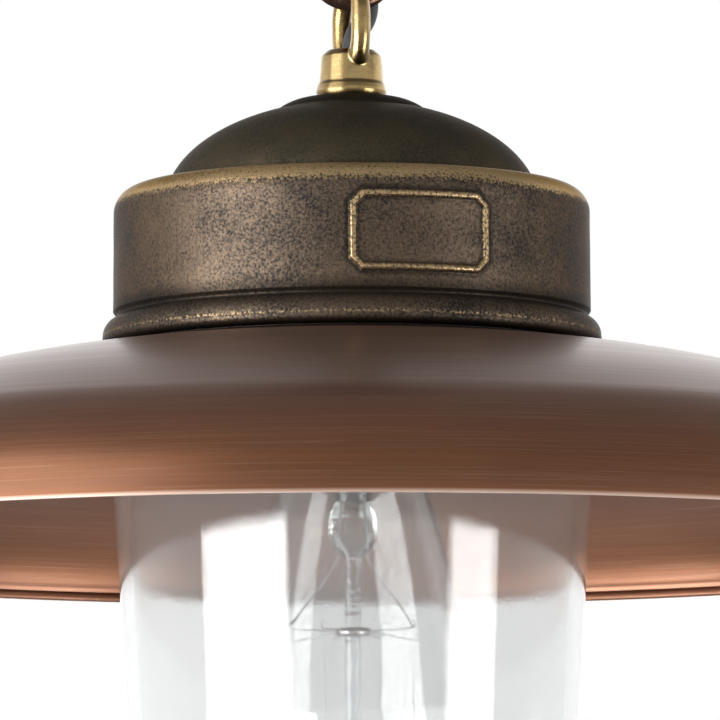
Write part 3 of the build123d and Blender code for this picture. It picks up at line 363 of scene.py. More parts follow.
def remap(tree, value, low, high, to_low=0.0, to_high=1.0, smooth=True):
    """A map range node."""
    node = put(tree, "ShaderNodeMapRange", interpolation_type="SMOOTHSTEP" if smooth else "LINEAR")
    for key, number in (("From Min", low), ("From Max", high), ("To Min", to_low), ("To Max", to_high)):
        if hasattr(number, "is_output"):
            join(tree, number, node.inputs[key])
        else:
            node.inputs[key].default_value = number
    join(tree, value, node.inputs["Value"])
    return node.outputs["Result"]


def ramp(tree, value, stops):
    """A colour ramp; stops are (place, (r, g, b))."""
    node = put(tree, "ShaderNodeValToRGB")
    node.color_ramp.elements[0].position = stops[0][0]
    node.color_ramp.elements[0].color = (*stops[0][1], 1.0)
    node.color_ramp.elements[1].position = stops[-1][0]
    node.color_ramp.elements[1].color = (*stops[-1][1], 1.0)
    for place, colour in stops[1:-1]:
        node.color_ramp.elements.new(place).color = (*colour, 1.0)
    join(tree, value, node.inputs[0])
    return node.outputs["Color"]


def mix(tree, factor, a, b):
    """Mix two colours, each a socket or (r, g, b)."""
    node = put(tree, "ShaderNodeMix", data_type="RGBA")
    for index, value in ((0, factor), (6, a), (7, b)):
        if hasattr(value, "is_output"):
            join(tree, value, node.inputs[index])
        elif index == 0:
            node.inputs[index].default_value = value
        else:
            node.inputs[index].default_value = (*value, 1.0)
    return node.outputs[2]


def start_material(name, **values):
    """A material with a Principled BSDF whose constants are set on its own sockets."""
    material = bpy.data.materials.new(name)
    material.use_nodes = True
    tree = material.node_tree
    shader = tree.nodes["Principled BSDF"]
    for key, value in values.items():
        shader.inputs[key.replace("_", " ")].default_value = value
    return material, tree, shader


def place(tree, name, **values):
    """Place a node group with its own values."""
    node = put(tree, "ShaderNodeGroup", node_tree=bpy.data.node_groups[name])
    for key, value in values.items():
        node.inputs[key.replace("_", " ")].default_value = value
    return node


def raise_surface(tree, shader, height, distance, strength=1.0):
    """A bump node that feeds the shader's normal; distance is in metres."""
    bump = put(tree, "ShaderNodeBump", {"Strength": strength, "Distance": distance})
    join(tree, height, bump.inputs["Height"])
    join(tree, bump.outputs["Normal"], shader.inputs["Normal"])
    return bump


print("shader helpers ready")

# %% [markdown]
# Effects that several finishes share. Mottle is the uneven browning of cast brass: large soft patches with
# fine grains in them. Lines are the rings that turning and brushing leave. Dust is a few small pale specks.
# Each one reads the object's own coordinates, so it stays on the metal when a joint moves.

# %% Mottle
tree, inside, out = group(
    "mottle",
    {"Patch Size": 0.012, "Grain Size": 0.0008, "Grain Share": 0.5, "Balance": 0.5, "Contrast": 0.35},
    ["Mask", "Grain", "Height"],
)
spot = put(tree, "ShaderNodeTexCoord").outputs["Object"]
patches = put(tree, "ShaderNodeTexNoise", {"Detail": 3.0, "Roughness": 0.55})
join(tree, spot, patches.inputs["Vector"])
join(tree, math(tree, "DIVIDE", 1.0, inside.outputs["Patch Size"]), patches.inputs["Scale"])
grains = put(tree, "ShaderNodeTexNoise", {"Detail": 4.0, "Roughness": 0.7})
join(tree, spot, grains.inputs["Vector"])
join(tree, math(tree, "DIVIDE", 1.0, inside.outputs["Grain Size"]), grains.inputs["Scale"])
share = inside.outputs["Grain Share"]
rest = math(tree, "SUBTRACT", 1.0, share)
weighed = math(
    tree, "ADD",
    math(tree, "MULTIPLY", patches.outputs["Fac"], rest),
    math(tree, "MULTIPLY", grains.outputs["Fac"], share),
)
half = math(tree, "MULTIPLY", inside.outputs["Contrast"], 0.5)
mask = remap(
    tree, weighed,
    math(tree, "SUBTRACT", inside.outputs["Balance"], half),
    math(tree, "ADD", inside.outputs["Balance"], half),
)
join(tree, mask, out.inputs["Mask"])
join(tree, grains.outputs["Fac"], out.inputs["Grain"])
join(tree, weighed, out.inputs["Height"])
print("group", tree.name)

# %% Lines
tree, inside, out = group("lines", {"Pitch": 0.0006, "Break": 0.15, "Contrast": 0.5}, ["Line", "Streak"])
spot = put(tree, "ShaderNodeTexCoord").outputs["Object"]
parts = put(tree, "ShaderNodeSeparateXYZ")
join(tree, spot, parts.inputs[0])
radius = put(tree, "ShaderNodeVectorMath", operation="LENGTH")
flat = put(tree, "ShaderNodeCombineXYZ")
join(tree, parts.outputs["X"], flat.inputs["X"])
join(tree, parts.outputs["Y"], flat.inputs["Y"])
join(tree, flat.outputs[0], radius.inputs[0])
swept = put(tree, "ShaderNodeVectorMath", operation="SCALE")
join(tree, flat.outputs[0], swept.inputs[0])
join(tree, inside.outputs["Break"], swept.inputs["Scale"])
along = put(tree, "ShaderNodeSeparateXYZ")
join(tree, swept.outputs[0], along.inputs[0])
ring_spot = put(tree, "ShaderNodeCombineXYZ")
depth = math(tree, "SUBTRACT", parts.outputs["Z"], radius.outputs["Value"])
join(tree, math(tree, "DIVIDE", depth, inside.outputs["Pitch"]), ring_spot.inputs["X"])
join(tree, along.outputs["X"], ring_spot.inputs["Y"])
join(tree, along.outputs["Y"], ring_spot.inputs["Z"])
fine = put(tree, "ShaderNodeTexNoise", {"Scale": 1.0, "Detail": 3.0, "Roughness": 0.75})
join(tree, ring_spot.outputs[0], fine.inputs["Vector"])
broad = put(tree, "ShaderNodeTexNoise", {"Scale": 0.12, "Detail": 2.0, "Roughness": 0.5})
join(tree, ring_spot.outputs[0], broad.inputs["Vector"])
half = math(tree, "MULTIPLY", inside.outputs["Contrast"], 0.5)
line = remap(tree, fine.outputs["Fac"], math(tree, "SUBTRACT", 0.5, half), math(tree, "ADD", 0.5, half))
join(tree, line, out.inputs["Line"])
join(tree, broad.outputs["Fac"], out.inputs["Streak"])
print("group", tree.name)

# %% Dust
tree, inside, out = group("dust", {"Cell": 0.012, "Speck": 0.0004, "Share": 0.35}, ["Mask"])
spot = put(tree, "ShaderNodeTexCoord").outputs["Object"]
cells = put(tree, "ShaderNodeTexVoronoi", {"Randomness": 1.0})
join(tree, spot, cells.inputs["Vector"])
join(tree, math(tree, "DIVIDE", 1.0, inside.outputs["Cell"]), cells.inputs["Scale"])
reach = math(tree, "MULTIPLY", cells.outputs["Distance"], inside.outputs["Cell"])
near = remap(tree, reach, inside.outputs["Speck"], math(tree, "MULTIPLY", inside.outputs["Speck"], 0.5))
tone = put(tree, "ShaderNodeSeparateColor")
join(tree, cells.outputs["Color"], tone.inputs[0])
chosen = math(tree, "LESS_THAN", tone.outputs[0], inside.outputs["Share"])
join(tree, math(tree, "MULTIPLY", near, chosen), out.inputs["Mask"])
print("group", tree.name)

# %% [markdown]
# Cast brass, aged. The cap is browned in a bath, then rubbed back: bluish black in the hollows, warm speckle
# on the open wall, bright gold on the shoulder, on the bead and on the raised label frame. The rubbed places
# come from the mesh's mask for rubbed edges, and the hollows from its mask for dark hollows, which on the
# cap also holds painted shadow under the bead.


# %% Aged brass
def painted(tree, name):
    """A mask painted on the mesh."""
    return put(tree, "ShaderNodeAttribute", attribute_name=name).outputs["Fac"]


def brass_finish(name, dark, warm, gold, balance, rough, grain_share=0.5, patch=0.014, grain=0.0007,
                 bump=0.00012):
    """Browned cast metal with rubbed edges, dull at a glancing angle."""
    material, tree, shader = start_material(name, Metallic=1.0, Specular_IOR_Level=0.25,
                                            Specular_Tint=(0.30, 0.28, 0.26, 1.0))
    mottle = place(tree, "mottle", Patch_Size=patch, Grain_Size=grain, Grain_Share=grain_share,
                   Balance=balance, Contrast=0.30)
    wear_and_highlight = painted(tree, "wear_and_highlight")
    soot_and_shadow = painted(tree, "soot_and_shadow")
    body = ramp(tree, mottle.outputs["Mask"],
                [(0.0, dark), (0.45, [0.5 * (a + b) for a, b in zip(dark, warm)]),
                                               (1.0, warm)])
    broken = math(tree, "ADD", wear_and_highlight, math(tree, "MULTIPLY",
                                          math(tree, "SUBTRACT", mottle.outputs["Grain"], 0.5), 1.3))
    rubbed = math(tree, "MULTIPLY", remap(tree, broken, 0.25, 0.8), math(tree, "GREATER_THAN", wear_and_highlight, 0.01))
    colour = mix(tree, rubbed, body, gold)
    # This darkening is patina in the hollows, and on the cap it is also painted shadow under the bead.
    soot_and_shadow_share = math(tree, "MULTIPLY", soot_and_shadow, 0.85)
    colour = mix(tree, soot_and_shadow_share, colour, [0.25 * c for c in dark])
    join(tree, colour, shader.inputs["Base Color"])
    metal = math(tree, "ADD", math(tree, "MULTIPLY", mottle.outputs["Mask"], 0.25), 0.62)
    join(tree, math(tree, "MAXIMUM", metal, rubbed), shader.inputs["Metallic"])
    roughness = remap(tree, mottle.outputs["Mask"], 0.0, 1.0, rough + 0.08, rough - 0.04, smooth=False)
    polished = math(tree, "SUBTRACT", roughness, math(tree, "MULTIPLY", rubbed, 0.12))
    join(tree, polished, shader.inputs["Roughness"])
    raise_surface(tree, shader, mottle.outputs["Height"], bump, 0.6)
    return material


aged_brass = brass_finish("aged_brass", (0.011, 0.011, 0.011), (0.098, 0.070, 0.048), (0.46, 0.32, 0.165),
                          0.505,
                          0.41, grain_share=0.68, patch=0.018)
dark_bronze = brass_finish("dark_bronze", (0.024, 0.021, 0.016), (0.074, 0.058, 0.036),
                           (0.20, 0.145, 0.08), 0.52,
                           0.50, grain_share=0.6)
chain_bronze = brass_finish("chain_bronze", (0.020, 0.012, 0.009), (0.060, 0.035, 0.024),
                            (0.35, 0.20, 0.12), 0.5,
                            0.30, grain_share=0.35, patch=0.006)
print("brass finishes ready")

# %% [markdown]
# Polished cast brass, for the collar, the bail and the small nuts. It is yellow and bright, a little darker
# where tarnish has settled in the casting's pores.


# %% Bright metals
def bright_finish(name, clean, dull, rough, pitch=0.0004, bump=0.00003):
    """Bright metal with faint turning lines and tarnish."""
    material, tree, shader = start_material(name, Metallic=1.0)
    mottle = place(tree, "mottle", Patch_Size=0.005, Grain_Size=0.0005, Grain_Share=0.4, Balance=0.56,
                   Contrast=0.35)
    lines = place(tree, "lines", Pitch=pitch, Break=20.0, Contrast=0.6)
    soot_and_shadow = painted(tree, "soot_and_shadow")
    tarnish = math(tree, "MAXIMUM", math(tree, "MULTIPLY", mottle.outputs["Mask"], 0.7), soot_and_shadow)
    join(tree, mix(tree, tarnish, clean, dull), shader.inputs["Base Color"])
    join(tree, remap(tree, mottle.outputs["Height"], 0.3, 0.7, rough - 0.06, rough + 0.1),
         shader.inputs["Roughness"])
    height = math(tree, "ADD", lines.outputs["Line"], mottle.outputs["Height"])
    raise_surface(tree, shader, height, bump, 0.5)
    return material


polished_brass = bright_finish("polished_brass", (0.29, 0.207, 0.092), (0.075, 0.049, 0.02), 0.20)
contact_brass = bright_finish("contact_brass", (0.88, 0.70, 0.38), (0.55, 0.40, 0.20), 0.22)
cap_metal = bright_finish("bulb_cap_metal", (0.80, 0.74, 0.58), (0.55, 0.48, 0.34), 0.22)
zinc_steel = bright_finish("zinc_steel", (0.72, 0.72, 0.70), (0.45, 0.45, 0.42), 0.32)
solder = bright_finish("solder", (0.62, 0.62, 0.62), (0.40, 0.40, 0.40), 0.42)
drawn_wire = bright_finish("bulb_wire", (0.42, 0.41, 0.40), (0.22, 0.21, 0.20), 0.30)
print("bright finishes ready")

# %% [markdown]
# Spun copper. The shade is spun from sheet, oxidised brown, brushed on the lathe and lacquered: fine rings,
# slow changes of tone, a few scratches and specks of dust. Its colour also goes by height from orange-brown
# at the edge to grey-brown on the crown: painted reflection of the pale wall in the crown.


# %% Browned copper
def copper_finish(name):
    """Browned, ring-brushed copper under satin lacquer; painted reflection makes it greyer on the crown and
    redder at the edge, and a painted highlight runs along the folded edge.
    """
    material, tree, shader = start_material(name, Metallic=0.86, Coat_Roughness=0.22, Coat_IOR=1.5)
    lines = place(tree, "lines", Pitch=0.0009, Break=3.0, Contrast=0.5)
    scratch = place(tree, "lines", Pitch=0.00035, Break=14.0, Contrast=0.25)
    mottle = place(tree, "mottle", Patch_Size=0.09, Grain_Size=0.0009, Grain_Share=0.12, Balance=0.5,
                   Contrast=0.5)
    dust = place(tree, "dust", Cell=0.028, Speck=0.00045, Share=0.25)
    crown = ramp(tree, mottle.outputs["Mask"], [(0.0, (0.150, 0.080, 0.059)), (0.5, (0.168, 0.087, 0.060)),
                                                (1.0, (0.190, 0.095, 0.061))])
    edge = ramp(tree, mottle.outputs["Mask"], [(0.0, (0.165, 0.069, 0.035)), (0.5, (0.185, 0.074, 0.034)),
                                               (1.0, (0.215, 0.085, 0.036))])
    height = put(tree, "ShaderNodeSeparateXYZ")
    join(tree, put(tree, "ShaderNodeTexCoord").outputs["Object"], height.inputs[0])
    # Painted reflection: by height, the redder edge colour gives way to the greyer crown colour.
    base = mix(tree, remap(tree, height.outputs["Z"], up(6.0), up(40.0)), edge, crown)
    streak = remap(tree, lines.outputs["Streak"], 0.3, 0.7, 0.0, 0.35)
    base = mix(tree, streak, base, (0.115, 0.060, 0.044))
    hair = math(tree, "MULTIPLY", math(tree, "GREATER_THAN", scratch.outputs["Line"], 0.93), 0.25)
    base = mix(tree, hair, base, (0.30, 0.19, 0.14))
    # Painted highlight: the mask for rubbed edges, set only under the shade's folded edge, lightens it to a
    # pale copper line.
    base = mix(tree, painted(tree, "wear_and_highlight"), base, (0.62, 0.43, 0.34))
    base = mix(tree, dust.outputs["Mask"], base, (0.75, 0.74, 0.72))
    join(tree, base, shader.inputs["Base Color"])
    rough = remap(tree, lines.outputs["Line"], 0.0, 1.0, 0.30, 0.40, smooth=False)
    join(tree, math(tree, "ADD", rough, math(tree, "MULTIPLY", dust.outputs["Mask"], 0.4)),
         shader.inputs["Roughness"])
    join(tree, remap(tree, mottle.outputs["Height"], 0.3, 0.7, 0.12, 0.25), shader.inputs["Coat Weight"])
    raise_surface(tree, shader, math(tree, "ADD", lines.outputs["Line"], lines.outputs["Streak"]),
                  0.000012, 0.6)
    return material


shade_copper = copper_finish("shade_copper")
print("copper ready")

# %% [markdown]
# Glass. Pressed glass for the jar is thick, very slightly wavy and faintly smeared; blown glass for the lamp
# is thin and even. Their waviness is a shallow bump, their smears a change of roughness.


# %% Glass
def glass_finish(name, tint, clear, wave_size, wave_depth, smear):
    """Glass with waves and smears; what isn't clear of it scatters light as a faint film of dust does."""
    material, tree, shader = start_material(name, Transmission_Weight=clear, IOR=1.5, Metallic=0.0)
    waves = place(tree, "mottle", Patch_Size=wave_size, Grain_Size=0.0012, Grain_Share=0.06, Balance=0.62,
                  Contrast=0.25)
    dust = place(tree, "dust", Cell=0.02, Speck=0.0003, Share=0.3)
    shader.inputs["Base Color"].default_value = (*tint, 1.0)
    film = math(tree, "MULTIPLY", waves.outputs["Mask"], smear)
    join(tree, math(tree, "ADD", film, math(tree, "MULTIPLY", dust.outputs["Mask"], 0.3)),
         shader.inputs["Roughness"])
    raise_surface(tree, shader, waves.outputs["Height"], wave_depth, 0.5)
    return material


jar_glass = glass_finish("jar_glass", (0.885, 0.895, 0.895), 0.955, 0.05, 0.0003, 0.005)
bulb_glass = glass_finish("bulb_glass", (0.955, 0.96, 0.96), 0.965, 0.03, 0.0001, 0.01)
stem_glass = glass_finish("stem_glass", (0.90, 0.92, 0.92), 0.96, 0.006, 0.0008, 0.02)
print("glass ready")

# %% [markdown]
# The quiet finishes: rubber, moulded plastic, wire insulation, porcelain and braided sleeve. They are hardly
# seen, but each still has grain and small changes of tone.


# %% Quiet finishes
def plain_finish(name, colour, rough, grain=0.0009, depth=0.00002, vary=0.18, coat=0.0):
    """A non-metal with fine grain and slow changes of tone."""
    material, tree, shader = start_material(name, Metallic=0.0, Coat_Weight=coat, Coat_Roughness=0.08)
    mottle = place(tree, "mottle", Patch_Size=0.01, Grain_Size=grain, Grain_Share=0.4, Balance=0.5,
                   Contrast=0.5)
    dark = [c * (1 - vary) for c in colour]
    light = [min(1.0, c * (1 + vary) + 0.003) for c in colour]
    join(tree, mix(tree, mottle.outputs["Mask"], dark, light), shader.inputs["Base Color"])
    join(tree, remap(tree, mottle.outputs["Height"], 0.3, 0.7, rough - 0.08, rough + 0.08),
         shader.inputs["Roughness"])
    raise_surface(tree, shader, mottle.outputs["Grain"], depth, 0.6)
    return material


black_rubber = plain_finish("black_rubber", (0.022, 0.022, 0.022), 0.62)
cable_sheath = plain_finish("cable_sheath", (0.010, 0.010, 0.010), 0.60)
white_plastic = plain_finish("white_plastic", (0.78, 0.77, 0.72), 0.40, vary=0.05)
brown_wire = plain_finish("brown_wire", (0.16, 0.07, 0.035), 0.35)
blue_wire = plain_finish("blue_wire", (0.03, 0.10, 0.42), 0.35)
green_wire = plain_finish("green_wire", (0.12, 0.34, 0.04), 0.35)
white_sleeve = plain_finish("white_sleeve", (0.76, 0.74, 0.68), 0.75, grain=0.0004, depth=0.0001, vary=0.12)
porcelain = plain_finish("porcelain", (0.80, 0.78, 0.72), 0.30, depth=0.00001, vary=0.04, coat=0.8)
black_ceramic = plain_finish("black_ceramic", (0.02, 0.02, 0.022), 0.20, vary=0.1, coat=0.5)
print("quiet finishes ready")

# %% [markdown]
# The shade. Two tangent arcs make its crown and its turned-down edge, as the spinner's former does. The
# sheet is 1 mm thick, and its edge is folded back inside, which shows as a narrow band at the far side. The
# thin bright line along the edge from the front is a painted highlight on the fold's underside.

# %% Shade
SHEET = 1.0
EDGE_ARC = 41.25
EDGE_SLOPE = 77.5
JOIN_SLOPE = 22.5
CROWN_ARC = 324.7
SEAT_R = 63.5
SEAT_TOP = 52.8
shade_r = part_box("shade")[1].x / mm


def on_arc(centre, r, slope):
    """Point of an arc where its surface falls outwards at a slope in degrees."""
    return (centre[0] + r * sin(radians(slope)), centre[1] + r * cos(radians(slope)))


def shade_skin(inset, hole):
    """One skin of the shade, from its hole to its rim."""
    edge = on_arc((shade_r, 0.0), -EDGE_ARC, EDGE_SLOPE)
    crown = on_arc(on_arc(edge, EDGE_ARC, JOIN_SLOPE), -CROWN_ARC, JOIN_SLOPE)
    seat_slope = degrees(asin((SEAT_R - crown[0]) / (CROWN_ARC - inset)))
    points = [(hole, SEAT_TOP - inset), (SEAT_R - 1.0, SEAT_TOP - inset)]
    for k in range(41):
        points.append(on_arc(crown, CROWN_ARC - inset, seat_slope + (JOIN_SLOPE - seat_slope) * k / 40))
    for k in range(1, 37):
        points.append(on_arc(edge, EDGE_ARC - inset, JOIN_SLOPE + (EDGE_SLOPE - JOIN_SLOPE) * k / 36))
    return points


outer_skin = shade_skin(0.0, 48.0)
inner_skin = shade_skin(SHEET, 48.0)
inner_x = inner_skin[-1][0]
fold = [(inner_x + 0.95, 0.06), (inner_x + 0.4, -0.02), (inner_x - 0.9, 0.0), (inner_x - 1.45, 0.35),
        (inner_x - 1.5, 1.1), (inner_x - 1.35, 2.0), (inner_x - 0.9, 2.4), (inner_x - 0.45, 2.3),
        (inner_x - 0.35, 2.6)]
outline = outer_skin + fold + [p for p in reversed(inner_skin) if p[1] > 2.9]


def shade_edge_highlight(r, h, a):
    """Painted highlight: a bright line along the underside of the folded edge."""
    return 1.0 if (h < 0.2 and r > inner_x + 0.2) else 0.0


shade = turned("shade_spun", outline, count=400, wear_and_highlight=shade_edge_highlight, crease=50)
settle(shade, "lamp_head", shade_copper, "shade_copper", "shade")

# %% [markdown]
# The cap. It is one casting: a wall with a rounded shoulder, a hollow groove and a bead at its foot, and a
# blank label frame raised on the wall. A fine grid of points under the frame lets the raised line be real
# relief with soft cast edges. The masks for rubbed metal and for dark hollows, with painted shadow under
# the bead, follow the same measures.

# %% Cap measures
WALL_R = 61.9
SHOULDER = 6.5
CAP_TOP = 94.7
BEAD_R = 64.6
GROOVE = 61.2
LABEL_ANGLE = radians(16.8)
LABEL_HALF_W = 17.75
LABEL_HALF_H = 9.35
LABEL_MID = 76.9
LABEL_CORNER = 2.6
LINE_HALF = 0.85


def label_distance(h, a):
    """Distance from the middle of the raised line, in millimetres; negative inside the label."""
    turn = (a - LABEL_ANGLE + pi) % (2 * pi) - pi
    x = abs(turn * WALL_R) - LABEL_HALF_W
    y = abs(h - LABEL_MID) - LABEL_HALF_H
    corner = (x + y + LABEL_CORNER) / sqrt(2)
    return max(x, y, corner)


def cap_shape(r, h, a):
    """Raise the label's line out of the wall and let the cast wall wander a little."""
    if r < WALL_R - 0.6 or not 61.5 < h < 90.5:
        return r, h
    wander = noise.noise(Vector((a * 9, h * 0.16, 3.0))) * 0.05
    gap = abs(label_distance(h, a)) + noise.noise(Vector((a * 60, h * 0.9, 0.0))) * 0.10
    rise = 0.8 * (1 - smooth_step(gap, LINE_HALF - 0.45, LINE_HALF + 0.30))
    return r + rise + wander, h


def cap_wear(r, h, a):
    """Rubbed metal: shoulder, bead and the label's raised line."""
    if r < WALL_R - 9:
        return 0.15
    front = 0.75 + 0.25 * noise.noise(Vector((cos(a) * 2.2, sin(a) * 2.2, h * 0.05)))
    shoulder = smooth_step(h, 87.5, 92.5) * front
    bead = bump_at(h, 58.8, 2.4) * 0.06 if h < GROOVE else 0.0
    line = 1 - smooth_step(abs(label_distance(h, a)), LINE_HALF - 0.25, LINE_HALF + 0.45)
    ridge = bump_at(h, 56.1, 1.1) * 0.35 if r > 64.0 else 0.0
    return max(shoulder, bead, line * 0.48, ridge, 0.02)


def cap_hollows_and_shadow(r, h, a):
    """Darker in the groove, round the label's line and in a band above the groove; painted shadow under the
    bead.
    """
    if r < WALL_R - 9:
        return 0.3
    # A darker band on the wall just above the groove.
    low_wall = bump_at(h, 62.4, 4.2) * 0.72 if h > GROOVE else 0.0
    groove = bump_at(h, GROOVE, 0.9)
    gap = label_distance(h, a)
    moat = bump_at(gap, LINE_HALF + 0.7, 1.2) * 0.75
    moat = max(moat, bump_at(gap, -LINE_HALF - 0.5, 0.9) * 0.45)
    # Painted shadow: the underside of the bead is darkened where shade falls.
    under = 1 - smooth_step(h, 53.4, 55.0)
    return min(1.0, max(low_wall, groove, moat if 62 < h < 90 else 0.0, under))


print("label frame", round(2 * LABEL_HALF_W + 2 * LINE_HALF, 1), "mm wide")

# %% Cap
bead_line = arc_through((63.0, 53.1), (64.45, 54.3), (BEAD_R, 56.0), 7)
cove = arc_through((BEAD_R, 56.0), (63.85, 58.7), (61.25, GROOVE - 0.5), 14)[1:]
groove_line = [(61.0, GROOVE - 0.1), (61.05, GROOVE + 0.4), (61.55, GROOVE + 0.9), (WALL_R, GROOVE + 1.4)]
wall_steps = 74
wall_top = CAP_TOP - SHOULDER
wall_line = [(WALL_R - 0.15 * k / wall_steps, 62.7 + (wall_top - 62.7) * k / wall_steps)
             for k in range(wall_steps + 1)]
shoulder_line = [
    (WALL_R - 0.15 - SHOULDER + SHOULDER * cos(t), wall_top + SHOULDER * sin(t))
    for t in [radians(90 * k / 14) for k in range(1, 15)]
]
inner_line = [(50.0, CAP_TOP), (44.6, CAP_TOP), (44.4, CAP_TOP - 0.3), (44.4, 90.7), (57.9, 90.7),
              (57.9, 59.0),
              (46.0, 59.0), (46.0, 54.4), (62.2, 54.4), (62.2, 53.1)]
outline = bead_line + cove + groove_line + wall_line + shoulder_line + inner_line
label_from, label_to = radians(-4.0), radians(38.0)
fine_angles = [label_from + (label_to - label_from) * k / 210 for k in range(210)]
coarse_angles = [label_to + (2 * pi - label_to + label_from) * k / 212 for k in range(212)]
cap = turned("cap_casting", outline, angles=fine_angles + coarse_angles, shape=cap_shape, wear_and_highlight=cap_wear,
             soot_and_shadow=cap_hollows_and_shadow, crease=50)
settle(cap, "lamp_head", aged_brass, "aged_brass", "cap")

# %% [markdown]
# The dome and the boss disc. The dome is a flattened half ellipse, nearly black. Its wall is thin at the
# sides and thicker at the crown, which has a flat for the boss disc. The disc, which the collar stands on,
# has a round edge. Both are lathe pieces.

# %% Dome
DOME_A, DOME_B, DOME_MID = 48.6, 26.9, 90.5
DOME_WALL, DOME_CROWN_WALL = 2.4, 4.4
BOSS_SEAT, BOSS_TOP = 114.9, 118.3
SEAT_R = 20.3


def dome_skin(inset, crown_inset, low, r_top, steps):
    """Points of the dome's ellipse from its foot to the boss."""
    a, b = DOME_A - inset, DOME_B - crown_inset
    first = asin((low - DOME_MID) / b)
    last = acos(r_top / a)
    return [(a * cos(first + (last - first) * k / steps), DOME_MID
             + b * sin(first + (last - first) * k / steps))
            for k in range(steps + 1)]


def dome_wear(r, h, a):
    """Faintly rubbed foot and crown."""
    patchy = 0.5 + 0.5 * noise.noise(Vector((sin(a) * 1.7, cos(a) * 1.7, r * 0.06)))
    return 0.30 * bump_at(r, 22.0, 8.0) * patchy + 0.02


def dome_soot(r, h, a):
    """The joint with the cap stays dark."""
    return 0.8 * (1 - smooth_step(h, CAP_TOP, CAP_TOP + 2.2))


foot = [(46.4, CAP_TOP + 0.02), (44.35, CAP_TOP + 0.02), (44.35, 91.4), (42.0, 91.4), (42.0, 96.6)]
outer_dome = dome_skin(0.0, 0.0, CAP_TOP + 0.02, SEAT_R, 44)
inner_dome = dome_skin(DOME_WALL, DOME_CROWN_WALL, 96.8, 5.2, 30)
outline = outer_dome + [(SEAT_R, BOSS_SEAT),
                        (5.1, BOSS_SEAT)] + list(reversed(inner_dome)) + list(reversed(foot))
dome = turned("dome_cast", outline, count=260, wear_and_highlight=dome_wear, soot_and_shadow=dome_soot, crease=50)
settle(dome, "lamp_head", dark_bronze, "dark_bronze", "dome")

boss_low = BOSS_SEAT + 0.02
boss_round = arc_through((19.3, boss_low + 0.4), (17.0, 116.75), (12.0, BOSS_TOP), 14)
boss_outline = [(5.05, boss_low), (19.1, boss_low),
                (19.3, boss_low + 0.2)] + boss_round + [(5.05, BOSS_TOP)]
boss = turned("boss_disc_cast", boss_outline, count=160, soot_and_shadow=lambda r, h, a: 0.75, crease=60)
settle(boss, "lamp_head", dark_bronze, "dark_bronze", "boss_disc")

# %% [markdown]
# The collar and bail are one polished casting. The bail's bar grows out of the collar's sides, so the two
# are joined by a voxel remesh, which leaves the soft fillets that a casting has there. The bore for the
# cable goes right through.

# %% Collar and bail
BAIL_R = 9.5
BAIL_WIRE = 2.5
BAIL_LOW, BAIL_HIGH = 135.3, 138.5


def long_ring(low, high, r, steps=20, first=0.0, last=360.0):
    """Points (across, height) of a ring with straight sides, by angle from its lowest point."""
    points = []
    for k in range(steps * 4 + 1):
        t = radians(first + (last - first) * k / (steps * 4))
        middle = low if cos(t) > 0 else high
        points.append((r * sin(t), middle - r * cos(t)))
    return points


bm = bmesh.new()
collar_outline = soften(
    [(3.4, 118.32), (8.8, 118.32), (9.3, 120.2), (8.85, 121.95), (8.5, 122.3), (7.95, 129.4), (6.3, 131.0),
     (4.3, 131.0), (3.4, 130.2)],
    [0, 0.6, 1.6, 0.2, 0.5, 1.0, 0.8, 0.8, 0.6], 5)
lathe_into(bm, collar_outline, even_angles(96))
route = [turn_chain((0, y * mm, 0)) + Vector((0, 0, up(h)))
         for y, h in long_ring(BAIL_LOW, BAIL_HIGH, BAIL_R, 24, 38.0, 322.0)]
flare = [BAIL_WIRE * mm * (1.0 + 0.10 * bump_at(k, 0, 14) + 0.10 * bump_at(k, 96, 14)) for k in range(97)]
pipe(bm, route, flare, sides=28)
rough_loop = finish_mesh(bm, "rough_loop")
for kind, settings in (("REMESH", {"mode": "VOXEL", "voxel_size": 0.26 * mm}),
                       ("SMOOTH", {"factor": 0.6, "iterations": 7})):
    modifier = rough_loop.modifiers.new(kind.lower(), kind)
    for key, value in settings.items():
        setattr(modifier, key, value)
cast = bpy.data.meshes.new_from_object(rough_loop.evaluated_get(bpy.context.evaluated_depsgraph_get()))
bpy.data.objects.remove(rough_loop)
cast.shade_smooth()
soot_mask = cast.attributes.new("soot_and_shadow", "FLOAT", "POINT")
for vert in cast.vertices:
    h = level(vert.co.z)
    mask = 0.55 * bump_at(h, 122.15, 0.9) + 0.3 * bump_at(h, 131.2, 1.2)
    soot_mask.data[vert.index].value = min(1.0, mask)
loop = bpy.data.objects.new("collar_and_bail", cast)
bpy.context.scene.collection.objects.link(loop)
settle(loop, "lamp_head", polished_brass, "polished_brass", "suspension_loop")

# %% [markdown]
# The chain links are bent from round bar and welded, so each has a slightly thicker seam on one side. Every
# second link is turned by a quarter.

